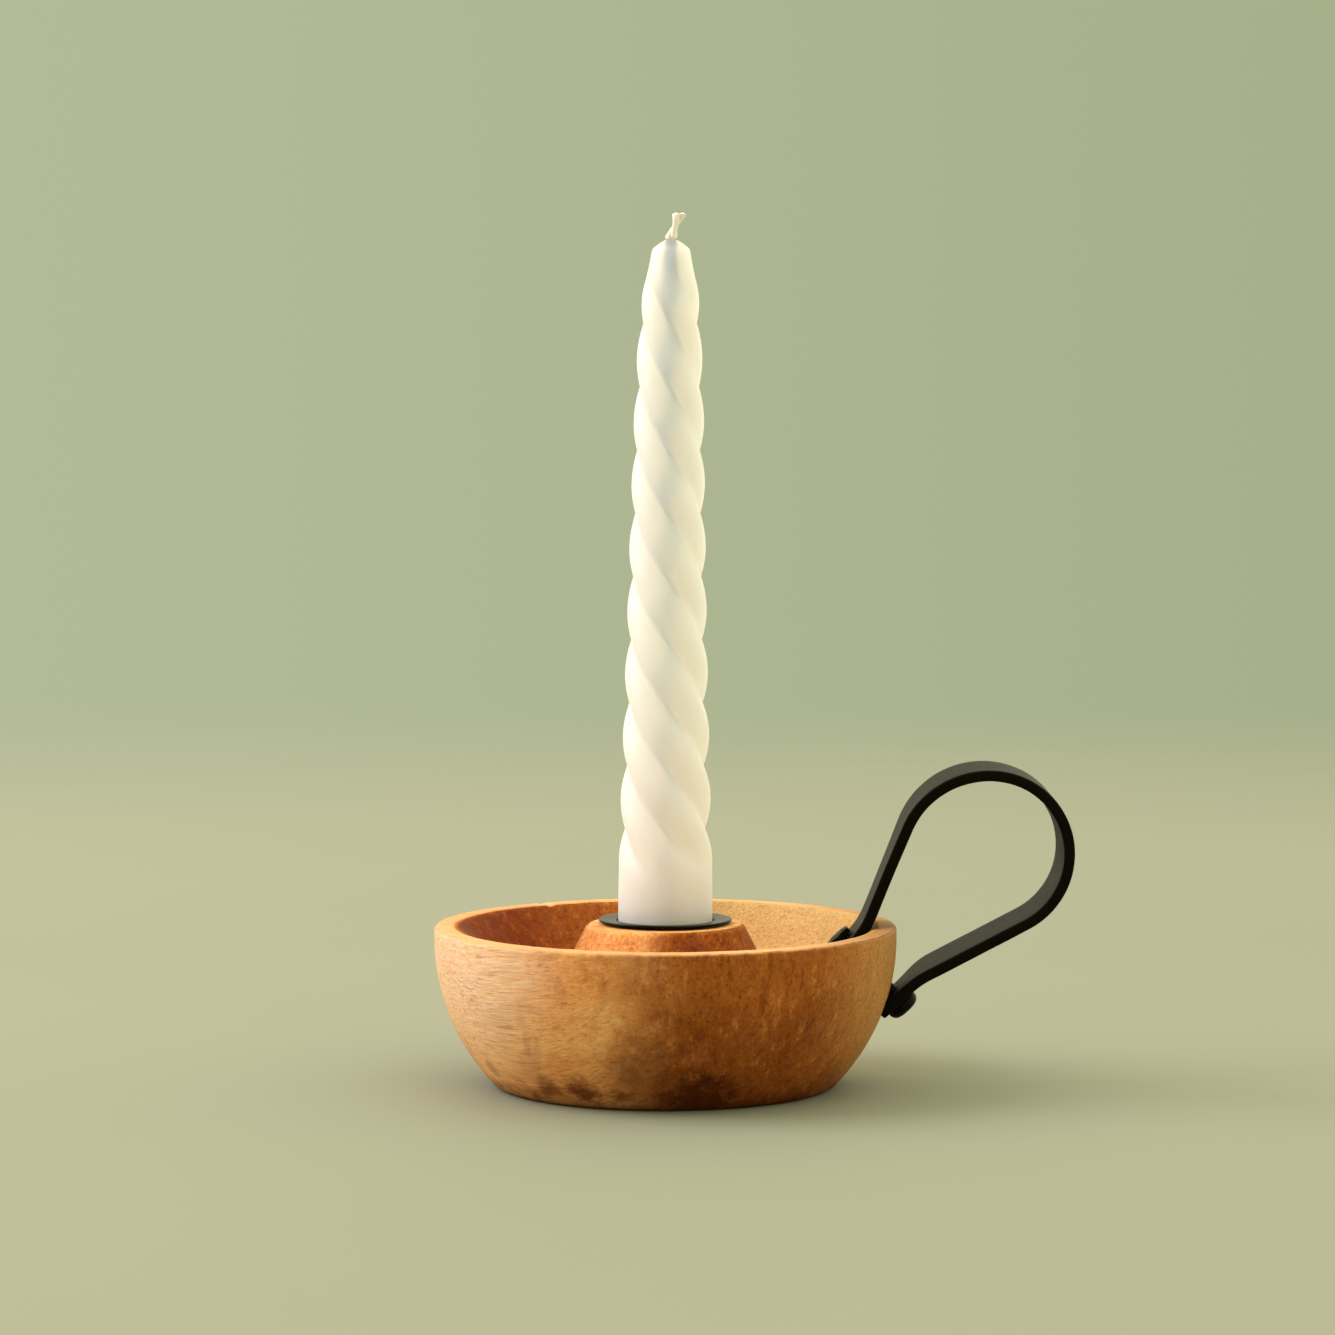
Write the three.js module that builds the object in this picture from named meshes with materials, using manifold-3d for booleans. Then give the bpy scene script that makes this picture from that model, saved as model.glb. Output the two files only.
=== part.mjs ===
// Turned wooden chamberstick: a heavy bowl with a central boss, a steel candle cup,
// a bent strap handle bolted through the wall, and a twisted taper candle.
// Millimetres, +Z up. The origin is the centre of the flat base and the handle points along +X.

import * as THREE from 'three';
import { mergeVertices } from 'three/addons/utils/BufferGeometryUtils.js';
import Module from 'manifold-3d';

const wasm = await Module();
wasm.setup();

// ---------- Driving dimensions ----------

const gap = 0.3; // clearance between pieces that touch

// Bowl, outside
const bowlRadius = 53.75;
const bowlHeight = 37.3;
const sideArcRadius = 48; // one long arc from the base to just under the rim
const sideArcHeight = 34.4; // where the bowl is widest
const baseRoundRadius = 4;
const rimEdgeRadius = 0.8;
const bowlSegments = 64;

// Bowl, inside
const rimInnerRadius = 49.6;
const wallSlope = THREE.MathUtils.degToRad(43.3); // inner wall above the horizontal
const wallTopRadius = 48.4; // where the line of the inner wall would reach the rim plane
const troughRadius = 5;

// Boss in the middle of the bowl
const bossTopRadius = 18.15; // where the line of the boss's side would reach its flat top
const bossHeight = 37.6;
const bossSlope = THREE.MathUtils.degToRad(63.4);
const bossEdgeRadius = 1.9;

// Candle
const candleRadius = 11.05;
const candlePlainHeight = 47; // the twist fades in above this
const candleTwistHeight = 57; // and is at full depth from here
const candleShoulder = 193.4;
const candleTop = 195.9;
const twistPitch = 58.4; // one full left-handed turn
const twistStart = 52.5; // a lobe faces the handle at this height
const lobeCount = 4;
const lobeOffset = 0.46; // distance of a lobe's centre from the axis, as a share of the radius
const tipFadeLength = 12; // the creases fade out over this height below the shoulder
const tipFade = 0.9; // the share of their depth that they lose by then
const candleLean = 1.35; // the tip stands this far towards the handle
const leanPower = 1.6; // the lean gathers towards the tip
const wickRadius = 0.95;
const wickLength = 6.3;
const wickBend = 1.9; // the free end stands this much further towards the handle

// Candle cup
const flangeRadius = 15.5;
const flangeThickness = 0.9;
const cupWall = 0.8;
const cupDepth = 18;
const cupCornerRadius = 1.2;
const cupSegments = 40;

// Wood screw that holds the cup
const screwHeadRadius = 2.6;
const screwRadius = 1.4;
const screwLength = 12;
const screwTipLength = 3;
const pilotClearance = 0.4; // round the screw in the boss
const pilotSpare = 1; // below the tip of the screw
const throatClearance = 0.9; // round the screw in the cup's floor
const countersinkClearance = 0.5;

// Strap handle
const strapWidth = 16;
const strapThickness = 2.6;
const loopCentre = point(74.5, 54.8); // x, z
const loopRadius = 18.4;
const crownRadius = 19.8; // the side of the loop towards the bowl is a little wider
const crownEnd = THREE.MathUtils.degToRad(75); // where it runs into the rest of the loop
const innerLegSlope = THREE.MathUtils.degToRad(68.2);
const lowerLegSlope = THREE.MathUtils.degToRad(27.5);
const footSlope = wallSlope; // both feet lie square to the bolt
const footOverhang = 5; // from the bolt to the end of the strap
const bendRadius = 20;
const loopYaw = 0.042; // the loop stands slightly turned
const loopTilt = 0.066; // and leans slightly towards the front

// Bolt and nut through both feet
const innerFootCentre = point(42.01, 32.54); // x, z where the bolt crosses the strap
const footSpacing = 16.55; // between the middles of the two feet, along the bolt
const boltRadius = 1.75;
const boltHeadRadius = 3.9;
const boltHeadHeight = 2.8;
const boltCrownRadius = 1.6; // the rounded part of the pan head
const nutAcrossFlats = 6;
const nutHeight = 1.6;

const smallSegments = 24; // round the bolt, the screw and the candle

// ---------- Sizes that follow from them ----------

const cupInnerRadius = candleRadius + gap;
const cupOuterRadius = cupInnerRadius + cupWall;
const flangeBottom = bossHeight + gap;
const flangeTop = flangeBottom + flangeThickness;
const cupFloorTop = flangeTop - cupDepth;
const cupFloorBottom = cupFloorTop - flangeThickness;
const socketRadius = cupOuterRadius + gap;
const socketFloor = cupFloorBottom - gap;
const pilotRadius = screwRadius + pilotClearance;
const pilotBottom = cupFloorTop - screwLength - pilotSpare;
const candleBottom = cupFloorTop + gap;
const holeRadius = boltRadius + gap;

// ---------- Helpers ----------

// Points along an arc, from angle `from` to angle `to` in degrees, both ends included.
function arc(centreX, centreY, radius, from, to, steps) {
  const points = [];
  for (let i = 0; i <= steps; i += 1) {
    const angle = THREE.MathUtils.degToRad(from + ((to - from) * i) / steps);
    points.push(point(centreX + radius * Math.cos(angle), centreY + radius * Math.sin(angle)));
  }
  return points;
}

function point(x, y) {
  return new THREE.Vector2(x, y);
}

function smoothStep(from, to, value) {
  return THREE.MathUtils.smoothstep(value, from, to);
}

// The direction of an angle, one unit long.
function unit(angle) {
  return point(Math.cos(angle), Math.sin(angle));
}

// Where two lines meet, each given by a point and a direction angle.
function crossing(pointA, angleA, pointB, angleB) {
  const directionA = unit(angleA);
  const directionB = unit(angleB);
  const between = pointB.clone().sub(pointA);
  const along = between.cross(directionB) / directionA.cross(directionB);
  return pointA.clone().addScaledVector(directionA, along);
}

// A closed mesh from rings of equal length. Each ring joins the next and the last joins the first.
function ringMesh(rings) {
  const count = rings[0].length;
  const positions = rings.flat().flatMap((p) => [p.x, p.y, p.z]);
  const indices = [];
  rings.forEach((ring, row) => {
    const here = row * count;
    const next = ((row + 1) % rings.length) * count;
    for (let i = 0; i < count; i += 1) {
      const j = (i + 1) % count;
      indices.push(here + i, here + j, next + j, here + i, next + j, next + i);
    }
  });
  const geometry = new THREE.BufferGeometry();
  geometry.setAttribute('position', new THREE.Float32BufferAttribute(positions, 3));
  geometry.setIndex(indices);
  return geometry;
}

function toSolid(geometry) {
  const bare = geometry.clone();
  bare.deleteAttribute('normal');
  bare.deleteAttribute('uv');
  const merged = mergeVertices(bare, 1e-5);
  const corners = [];
  for (let i = 0; i < merged.index.count; i += 3) {
    const [a, b, c] = [merged.index.getX(i), merged.index.getX(i + 1), merged.index.getX(i + 2)];
    if (a !== b && b !== c && c !== a) corners.push(a, b, c);
  }
  return new wasm.Manifold(new wasm.Mesh({
    numProp: 3,
    vertProperties: new Float32Array(merged.attributes.position.array),
    triVerts: new Uint32Array(corners),
  }));
}

function toGeometry(solid) {
  const mesh = solid.getMesh();
  const geometry = new THREE.BufferGeometry();
  geometry.setAttribute('position', new THREE.BufferAttribute(new Float32Array(mesh.vertProperties), 3));
  geometry.setIndex(new THREE.BufferAttribute(new Uint32Array(mesh.triVerts), 1));
  geometry.computeVertexNormals();
  return geometry;
}

function cut(geometry, ...tools) {
  const solid = tools.reduce((rest, tool) => rest.subtract(toSolid(tool)), toSolid(geometry));
  return toGeometry(solid);
}

// A lathe profile is drawn in x and y, and stands up along Z once it is turned.
function turned(profile, segments) {
  return new THREE.LatheGeometry(profile, segments).rotateX(Math.PI / 2);
}

// The bolt's own frame: its Z runs up the bolt and is zero in the middle of the inner foot.
const boltFrame = new THREE.Matrix4()
  .makeRotationY(-footSlope)
  .setPosition(innerFootCentre.x, 0, innerFootCentre.y);

// A point of the bolt's axis, as x and z.
function boltPoint(along) {
  return point(
    innerFootCentre.x - along * Math.sin(footSlope),
    innerFootCentre.y + along * Math.cos(footSlope),
  );
}

function boltHoleTool(radius) {
  const spare = 20; // past the middle of each foot
  const length = footSpacing + 2 * spare;
  return new THREE.CylinderGeometry(radius, radius, length, smallSegments)
    .rotateX(Math.PI / 2)
    .translate(0, 0, -footSpacing / 2)
    .applyMatrix4(boltFrame);
}

function makeMesh(name, geometry, color, roughness, metalness) {
  const mesh = new THREE.Mesh(geometry, new THREE.MeshStandardMaterial({ color, roughness, metalness }));
  mesh.name = name;
  return mesh;
}

// ---------- Bowl and boss, turned from one block ----------

function bowlProfile() {
  const sideCentreX = bowlRadius - sideArcRadius;
  // The base round touches the floor and, from inside, the long side arc.
  const drop = sideArcHeight - baseRoundRadius;
  const reach = Math.sqrt((sideArcRadius - baseRoundRadius) ** 2 - drop ** 2);
  const baseRoundX = sideCentreX + reach;
  const joinAngle = -THREE.MathUtils.radToDeg(Math.atan2(drop, reach));
  const slope = THREE.MathUtils.radToDeg(wallSlope);

  // The lip is an arc that touches the rim plane and the line of the inner wall.
  const lipRadius = (rimInnerRadius - wallTopRadius) / Math.tan(wallSlope / 2);

  // The trough is an arc that touches the inner wall and the side of the boss.
  const wallLine = point(wallTopRadius, bowlHeight);
  const bossLine = point(bossTopRadius, bossHeight);
  const wallNormal = unit(wallSlope + Math.PI / 2);
  const bossNormal = unit(Math.PI / 2 - bossSlope);
  const troughCentre = crossing(
    wallLine.clone().addScaledVector(wallNormal, troughRadius), wallSlope,
    bossLine.clone().addScaledVector(bossNormal, troughRadius), Math.PI - bossSlope,
  );
  const bossDegrees = THREE.MathUtils.radToDeg(bossSlope);

  // The boss's top edge is rounded where its side meets its flat top.
  const edgeSetback = bossEdgeRadius * Math.tan(bossSlope / 2);

  return [
    point(0, 0),
    ...arc(baseRoundX, baseRoundRadius, baseRoundRadius, -90, joinAngle, 3),
    ...arc(sideCentreX, sideArcHeight, sideArcRadius, joinAngle, 0, 9).slice(1),
    ...arc(bowlRadius - rimEdgeRadius, bowlHeight - rimEdgeRadius, rimEdgeRadius, 0, 90, 3),
    ...arc(rimInnerRadius, bowlHeight - lipRadius, lipRadius, 90, 90 + slope, 4),
    ...arc(troughCentre.x, troughCentre.y, troughRadius, slope - 90, -90 - bossDegrees, 6),
    ...arc(
      bossTopRadius - edgeSetback, bossHeight - bossEdgeRadius, bossEdgeRadius,
      90 - bossDegrees, 90, 3,
    ),
    point(socketRadius, bossHeight),
    point(socketRadius, socketFloor),
    point(pilotRadius, socketFloor),
    point(pilotRadius, pilotBottom),
    point(0, pilotBottom),
  ];
}

// Blocks that cut a shallow flat for each foot, because the wall is curved and the strap is not.
function footSeatTools() {
  const depth = 16; // enough to clear the wood above the inner foot and below the outer one
  const back = footOverhang + gap;
  const front = 10; // past the rim on the inside, and clear of the wall on the outside
  const innerFloor = -strapThickness / 2 - gap;
  const outerFloor = -footSpacing + strapThickness / 2 + gap;
  return [innerFloor + depth / 2, outerFloor - depth / 2].map((middle) => (
    new THREE.BoxGeometry(back + front, strapWidth + 2 * gap, depth)
      .translate((front - back) / 2, 0, middle)
      .applyMatrix4(boltFrame)
  ));
}

function makeBowl() {
  const geometry = cut(turned(bowlProfile(), bowlSegments), boltHoleTool(holeRadius), ...footSeatTools());
  return makeMesh('bowl', geometry, 0xb6743a, 0.6, 0);
}

// ---------- Candle cup and its screw ----------

function makeCandleCup() {
  const throat = screwRadius + throatClearance;
  const countersink = screwHeadRadius + countersinkClearance;
  const cornerX = cupOuterRadius - cupCornerRadius;
  const cornerY = cupFloorBottom + cupCornerRadius;
  const edgeX = flangeRadius - flangeThickness / 2;
  const edgeY = flangeBottom + flangeThickness / 2;
  const profile = [
    point(throat, cupFloorBottom),
    ...arc(cornerX, cornerY, cupCornerRadius, -90, 0, 3),
    point(cupOuterRadius, flangeBottom),
    ...arc(edgeX, edgeY, flangeThickness / 2, -90, 90, 4),
    point(cupInnerRadius, flangeTop),
    point(cupInnerRadius, cupFloorTop),
    point(countersink, cupFloorTop),
    point(throat, cupFloorBottom),
  ];
  return makeMesh('candle_cup', turned(profile, cupSegments), 0x2b2c29, 0.55, 0.6);
}

function makeCupScrew() {
  const headHeight = screwHeadRadius - screwRadius; // a 90 degree countersunk head
  const profile = [
    point(0, cupFloorTop - screwLength),
    point(screwRadius, cupFloorTop - screwLength + screwTipLength),
    point(screwRadius, cupFloorTop - headHeight),
    point(screwHeadRadius, cupFloorTop),
    point(0, cupFloorTop),
  ];
  return makeMesh('cup_screw', turned(profile, smallSegments), 0x8a8c8e, 0.4, 0.9);
}

// ---------- Strap handle ----------

// Adds an arc to a path, from one angle to another about its centre.
function addArc(path, centre, radius, from, to) {
  path.absarc(centre.x, centre.y, radius, from, to, to < from);
}

// Adds a rounded bend to a path at a corner, between two directions.
function addBend(path, corner, from, to) {
  const quarter = (Math.sign(to - from) * Math.PI) / 2; // from a direction to its left or right
  const setback = bendRadius * Math.tan(Math.abs(to - from) / 2);
  const start = corner.clone().addScaledVector(unit(from), -setback);
  const centre = start.clone().addScaledVector(unit(from + quarter), bendRadius);
  path.lineTo(start.x, start.y);
  addArc(path, centre, bendRadius, from - quarter, to - quarter);
}

// The middle line of the strap, seen from the front: foot, inner leg, loop, lower leg, foot.
function strapPath() {
  const foot = unit(footSlope);
  const outerFootCentre = boltPoint(-footSpacing);
  const crownStart = innerLegSlope + Math.PI / 2;
  const loopEnd = lowerLegSlope - Math.PI / 2;
  const crownCentre = loopCentre.clone().addScaledVector(unit(crownEnd), loopRadius - crownRadius);
  const innerTouch = crownCentre.clone().addScaledVector(unit(crownStart), crownRadius);
  const lowerTouch = loopCentre.clone().addScaledVector(unit(loopEnd), loopRadius);
  const innerCorner = crossing(innerFootCentre, footSlope, innerTouch, innerLegSlope);
  const lowerCorner = crossing(outerFootCentre, footSlope, lowerTouch, lowerLegSlope);
  const innerTip = innerFootCentre.clone().addScaledVector(foot, -footOverhang);
  const outerTip = outerFootCentre.clone().addScaledVector(foot, -footOverhang);

  const path = new THREE.Path();
  path.moveTo(innerTip.x, innerTip.y);
  addBend(path, innerCorner, footSlope, innerLegSlope);
  addArc(path, crownCentre, crownRadius, crownStart, crownEnd);
  addArc(path, loopCentre, loopRadius, crownEnd, loopEnd);
  addBend(path, lowerCorner, lowerLegSlope + Math.PI, footSlope + Math.PI);
  path.lineTo(outerTip.x, outerTip.y);
  return path;
}

// How much of the loop's turn and lean the strap has, by its share of the length. The inner leg
// takes them up slowly above its foot, and the lower leg loses them in its bend.
function leanShare(share) {
  const takenUp = smoothStep(0.14, 0.4, share);
  const kept = smoothStep(0.05, 0.115, 1 - share);
  return takenUp * kept;
}

// Rectangles across the strap at each station, turned a little out of the plane around the loop.
function strapRings(path) {
  const fixing = boltPoint(-footSpacing / 2); // the loop leans about the middle of the bolt
  const stations = 84;
  const rings = [];
  for (let i = 0; i <= stations; i += 1) {
    const share = i / stations;
    const centre = path.getPointAt(share);
    const tangent = path.getTangentAt(share);
    const blend = leanShare(share);
    const y = blend * (loopYaw * (centre.x - fixing.x) - loopTilt * (centre.y - fixing.y));
    const across = new THREE.Vector3(-loopYaw * blend, 1, loopTilt * blend)
      .normalize()
      .multiplyScalar(strapWidth / 2);
    const through = new THREE.Vector3(-tangent.y, 0, tangent.x).multiplyScalar(strapThickness / 2);
    const middle = new THREE.Vector3(centre.x, y, centre.y);
    rings.push([
      middle.clone().add(across).add(through),
      middle.clone().sub(across).add(through),
      middle.clone().sub(across).sub(through),
      middle.clone().add(across).sub(through),
    ]);
  }
  return rings;
}

// A bar from rings that don't join up: each end is closed with a flat cap.
function barMesh(rings) {
  const count = rings[0].length;
  const positions = rings.flat().flatMap((p) => [p.x, p.y, p.z]);
  const indices = [];
  for (let row = 0; row < rings.length - 1; row += 1) {
    for (let i = 0; i < count; i += 1) {
      const here = row * count;
      const j = (i + 1) % count;
      indices.push(here + i, here + j, here + count + j, here + i, here + count + j, here + count + i);
    }
  }
  const last = (rings.length - 1) * count;
  for (let i = 1; i < count - 1; i += 1) {
    indices.push(0, i + 1, i);
    indices.push(last, last + i, last + i + 1);
  }
  const geometry = new THREE.BufferGeometry();
  geometry.setAttribute('position', new THREE.Float32BufferAttribute(positions, 3));
  geometry.setIndex(indices);
  return geometry;
}

function makeStrap() {
  const geometry = cut(barMesh(strapRings(strapPath())), boltHoleTool(holeRadius));
  return makeMesh('handle_strap', geometry, 0x2e2c26, 0.6, 0.7);
}

// ---------- Bolt and nut ----------

function makeBolt() {
  const underHead = -footSpacing - strapThickness / 2 - gap;
  const headTop = underHead - boltHeadHeight;
  const shankEnd = strapThickness / 2 + gap + nutHeight;
  const crownX = boltHeadRadius - boltCrownRadius;
  const profile = [
    point(0, headTop),
    ...arc(crownX, headTop + boltCrownRadius, boltCrownRadius, -90, 0, 4),
    point(boltHeadRadius, underHead),
    point(boltRadius, underHead),
    point(boltRadius, shankEnd),
    point(0, shankEnd),
  ];
  const mesh = makeMesh('handle_bolt', turned(profile, smallSegments), 0x24221e, 0.5, 0.8);
  mesh.applyMatrix4(boltFrame);
  return mesh;
}

// Points all the way round a circle, with no point twice.
function circle(radius, count, firstAngle = 0) {
  return arc(0, 0, radius, firstAngle, firstAngle + 360 - 360 / count, count - 1);
}

function makeNut() {
  const hex = new THREE.Shape(circle(nutAcrossFlats / Math.sqrt(3), 6, 30)); // a flat faces up the strap
  hex.holes.push(new THREE.Path(circle(holeRadius, smallSegments).reverse()));
  const geometry = new THREE.ExtrudeGeometry(hex, { depth: nutHeight, bevelEnabled: false });
  geometry.translate(0, 0, strapThickness / 2 + gap);
  const mesh = makeMesh('handle_nut', geometry, 0x24221e, 0.5, 0.8);
  mesh.applyMatrix4(boltFrame);
  return mesh;
}

// ---------- Candle and wick ----------

// Radius of the candle by height: a long straight taper that rounds in towards the shoulder.
const candleTaper = new THREE.SplineCurve([
  point(candleRadius, candleBottom),
  point(10.9, 52),
  point(10.05, 82),
  point(8.9, 125),
  point(8.2, 154),
  point(7.6, 169),
  point(6.75, 182),
  point(5.4, 189),
  point(4.45, candleShoulder),
]);

// How far the candle's middle stands from the upright at a height.
function leanAt(z) {
  const share = Math.max(0, (z - flangeTop) / (candleTop - flangeTop));
  return candleLean * share ** leanPower;
}

// How deep the creases are at a height, from 0 for a plain round to 1 for full lobes.
function creaseDepth(z) {
  const fadeIn = smoothStep(candlePlainHeight, candleTwistHeight, z);
  const fadeOut = smoothStep(candleShoulder - tipFadeLength, candleShoulder, z);
  return fadeIn * (1 - tipFade * fadeOut);
}

// One level cut through the candle: lobes made of arcs, with creases between them.
function candleRing(radius, z, depth, columns) {
  const offset = lobeOffset * radius * depth;
  const lobeRadius = radius - offset;
  const perLobe = (2 * Math.PI) / lobeCount;
  const turn = (-2 * Math.PI * (z - twistStart)) / twistPitch;
  const ring = [];
  for (let i = 0; i < columns; i += 1) {
    const angle = (2 * Math.PI * i) / columns;
    const withinLobe = angle - perLobe * Math.round(angle / perLobe);
    const reach = offset * Math.cos(withinLobe)
      + Math.sqrt(lobeRadius ** 2 - (offset * Math.sin(withinLobe)) ** 2);
    ring.push(new THREE.Vector3(
      leanAt(z) + reach * Math.cos(angle + turn),
      reach * Math.sin(angle + turn),
      z,
    ));
  }
  return ring;
}

function makeCandle() {
  const columns = smallSegments;
  const rowHeight = 4.2;
  const topWidth = 0.4; // of the flat ring round the bore at the tip
  const rows = Math.round((candleShoulder - candleBottom) / rowHeight);
  const boreRadius = wickRadius + gap;
  const rings = [];
  for (let i = 0; i <= rows; i += 1) {
    const sample = candleTaper.getPoint(i / rows);
    rings.push(candleRing(sample.x, sample.y, creaseDepth(sample.y), columns));
  }
  // The flat top, and back down the round bore that the wick runs in.
  rings.push(candleRing(boreRadius + topWidth, candleTop, 0, columns));
  for (let i = 0; i <= rows; i += 1) {
    const z = candleTop + ((candleBottom - candleTop) * i) / rows;
    rings.push(candleRing(boreRadius, z, 0, columns));
  }
  return makeMesh('candle', ringMesh(rings), 0xe8e0c8, 0.45, 0);
}

// A cord down the middle of the candle, bent over towards the handle where it stands free.
function makeWick() {
  const lead = wickLength * 0.4; // the cord is straight for this far below the top
  const inside = [candleBottom, 60, 100, 140, 170, candleTop - lead, candleTop];
  const points = inside.map((z) => new THREE.Vector3(leanAt(z), 0, z));
  for (const [height, bend] of [[0.45, 0.42], [0.95, 1]]) { // as shares of the length and the bend
    points.push(new THREE.Vector3(
      leanAt(candleTop) + bend * wickBend,
      0,
      candleTop + height * wickLength,
    ));
  }
  const route = new THREE.CatmullRomCurve3(points);
  const section = new THREE.Shape(circle(wickRadius, 8));
  const geometry = new THREE.ExtrudeGeometry(section, { steps: 28, extrudePath: route });
  return makeMesh('wick', geometry, 0xefeadd, 0.9, 0);
}

// ---------- Assembly ----------

const chamberstick = new THREE.Group();
chamberstick.add(makeBowl(), makeCandleCup(), makeCupScrew());
chamberstick.add(makeStrap(), makeBolt(), makeNut());

const candleGroup = new THREE.Group(); // lifts out of the cup in one piece
candleGroup.add(makeCandle(), makeWick());
chamberstick.add(candleGroup);

export default chamberstick;
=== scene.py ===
"""Looks for the turned wooden chamberstick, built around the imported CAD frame.

Shapes are worked out in millimetres, +Z up, with the handle along +X, and are turned into metres
when each mesh is made.
"""

import math
from itertools import product
from types import SimpleNamespace

import bmesh
import bpy
from mathutils import Matrix, Vector, noise


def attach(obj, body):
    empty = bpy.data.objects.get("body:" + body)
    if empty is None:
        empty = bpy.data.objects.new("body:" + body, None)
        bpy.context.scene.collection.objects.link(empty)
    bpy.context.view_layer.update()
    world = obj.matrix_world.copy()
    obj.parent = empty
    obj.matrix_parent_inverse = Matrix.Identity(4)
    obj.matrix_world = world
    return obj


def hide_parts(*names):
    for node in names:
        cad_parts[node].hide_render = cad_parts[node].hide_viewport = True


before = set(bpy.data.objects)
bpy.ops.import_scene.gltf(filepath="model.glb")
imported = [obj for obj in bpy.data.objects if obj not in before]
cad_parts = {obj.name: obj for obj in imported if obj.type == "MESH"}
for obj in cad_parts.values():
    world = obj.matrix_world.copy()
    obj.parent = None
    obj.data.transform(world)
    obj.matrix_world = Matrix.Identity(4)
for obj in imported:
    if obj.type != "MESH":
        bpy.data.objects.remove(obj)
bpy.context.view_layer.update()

MM = 0.001

# ---------- Dimensions, the same as the CAD part's ----------

GAP = 0.3  # clearance between pieces that touch

BOWL_RADIUS = 53.75
BOWL_HEIGHT = 37.3
SIDE_ARC_RADIUS = 48.0
SIDE_ARC_HEIGHT = 34.4
BASE_ROUND_RADIUS = 4.0
RIM_EDGE_RADIUS = 0.8
RIM_INNER_RADIUS = 49.6
WALL_SLOPE = math.radians(43.3)
WALL_TOP_RADIUS = 48.4  # where its line would reach the plane of the rim
TROUGH_RADIUS = 5.0
BOSS_TOP_RADIUS = 18.15  # where the line of its side would reach its top
BOSS_HEIGHT = 37.6
BOSS_SLOPE = math.radians(63.4)
BOSS_EDGE_RADIUS = 1.9

CANDLE_RADIUS = 11.05
CANDLE_PLAIN_HEIGHT = 47.0
CANDLE_TWIST_HEIGHT = 57.0
CANDLE_SHOULDER = 193.4
CANDLE_TOP = 195.9
TWIST_PITCH = 58.4
TWIST_START = 52.5  # a lobe faces the handle at this height
LOBE_COUNT = 4
LOBE_OFFSET = 0.46  # from the axis to a lobe's centre, as a share of the radius
TIP_FADE_LENGTH = 12.0  # below the shoulder
TIP_FADE = 0.9  # of the creases' depth, by the shoulder
CANDLE_LEAN = 1.35
LEAN_POWER = 1.6
WICK_RADIUS = 0.95
WICK_LENGTH = 6.3
WICK_BEND = 1.9  # of the free end, towards the handle

FLANGE_RADIUS = 15.5
FLANGE_THICKNESS = 0.9
CUP_WALL = 0.8
CUP_DEPTH = 18.0
CUP_CORNER_RADIUS = 1.2
SCREW_HEAD_RADIUS = 2.6
SCREW_RADIUS = 1.4
SCREW_LENGTH = 12.0
SCREW_TIP_LENGTH = 3.0
PILOT_CLEARANCE = 0.4  # round the screw in the boss
PILOT_SPARE = 1.0  # below the tip of the screw
THROAT_CLEARANCE = 0.9  # round the screw in the cup's floor
COUNTERSINK_CLEARANCE = 0.5

STRAP_WIDTH = 16.0
STRAP_THICKNESS = 2.6
LOOP_CENTRE = Vector((74.5, 54.8))  # x, z
LOOP_RADIUS = 18.4
CROWN_RADIUS = 19.8  # of the loop's side towards the bowl
CROWN_END = math.radians(75)
INNER_LEG_SLOPE = math.radians(68.2)
LOWER_LEG_SLOPE = math.radians(27.5)
FOOT_SLOPE = WALL_SLOPE  # both feet lie square to the bolt
FOOT_OVERHANG = 5.0
BEND_RADIUS = 20.0
LOOP_YAW = 0.042
LOOP_TILT = 0.066

INNER_FOOT_CENTRE = Vector((42.01, 32.54))  # x, z
FOOT_SPACING = 16.55
SEAT_DEPTH = 16.0
SEAT_FRONT = 10.0  # from the bolt, out past the wood
HOLE_REACH = 20.0  # past the middle of each foot
BOLT_RADIUS = 1.75
BOLT_HEAD_RADIUS = 3.9
BOLT_HEAD_HEIGHT = 2.8
NUT_ACROSS_FLATS = 6.0
NUT_HEIGHT = 1.6

CUP_INNER_RADIUS = CANDLE_RADIUS + GAP
CUP_OUTER_RADIUS = CUP_INNER_RADIUS + CUP_WALL
FLANGE_BOTTOM = BOSS_HEIGHT + GAP
FLANGE_TOP = FLANGE_BOTTOM + FLANGE_THICKNESS
CUP_FLOOR_TOP = FLANGE_TOP - CUP_DEPTH
CUP_FLOOR_BOTTOM = CUP_FLOOR_TOP - FLANGE_THICKNESS
SOCKET_RADIUS = CUP_OUTER_RADIUS + GAP
SOCKET_FLOOR = CUP_FLOOR_BOTTOM - GAP
PILOT_RADIUS = SCREW_RADIUS + PILOT_CLEARANCE
PILOT_BOTTOM = CUP_FLOOR_TOP - SCREW_LENGTH - PILOT_SPARE
CANDLE_BOTTOM = CUP_FLOOR_TOP + GAP
HOLE_RADIUS = BOLT_RADIUS + GAP

# Its Z runs up the bolt and is zero in the middle of the inner foot.
BOLT_FRAME = Matrix.Translation((INNER_FOOT_CENTRE.x, 0, INNER_FOOT_CENTRE.y)) @ Matrix.Rotation(
    -FOOT_SLOPE, 4, "Y"
)


# ---------- Outline helpers ----------


def unit(angle):
    return Vector((math.cos(angle), math.sin(angle)))


def evenly(first, last, count):
    """Values in equal steps, both ends included."""
    return [first + (last - first) * i / count for i in range(count + 1)]


def arc(centre, radius, start, end, step=0.6):
    """Points along an arc between two angles in degrees, both ends included."""
    steps = max(3, math.ceil(abs(math.radians(end - start)) * radius / step))
    angles = [math.radians(degrees) for degrees in evenly(start, end, steps)]
    return [Vector((centre[0] + radius * math.cos(a), centre[1] + radius * math.sin(a))) for a in angles]


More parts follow.
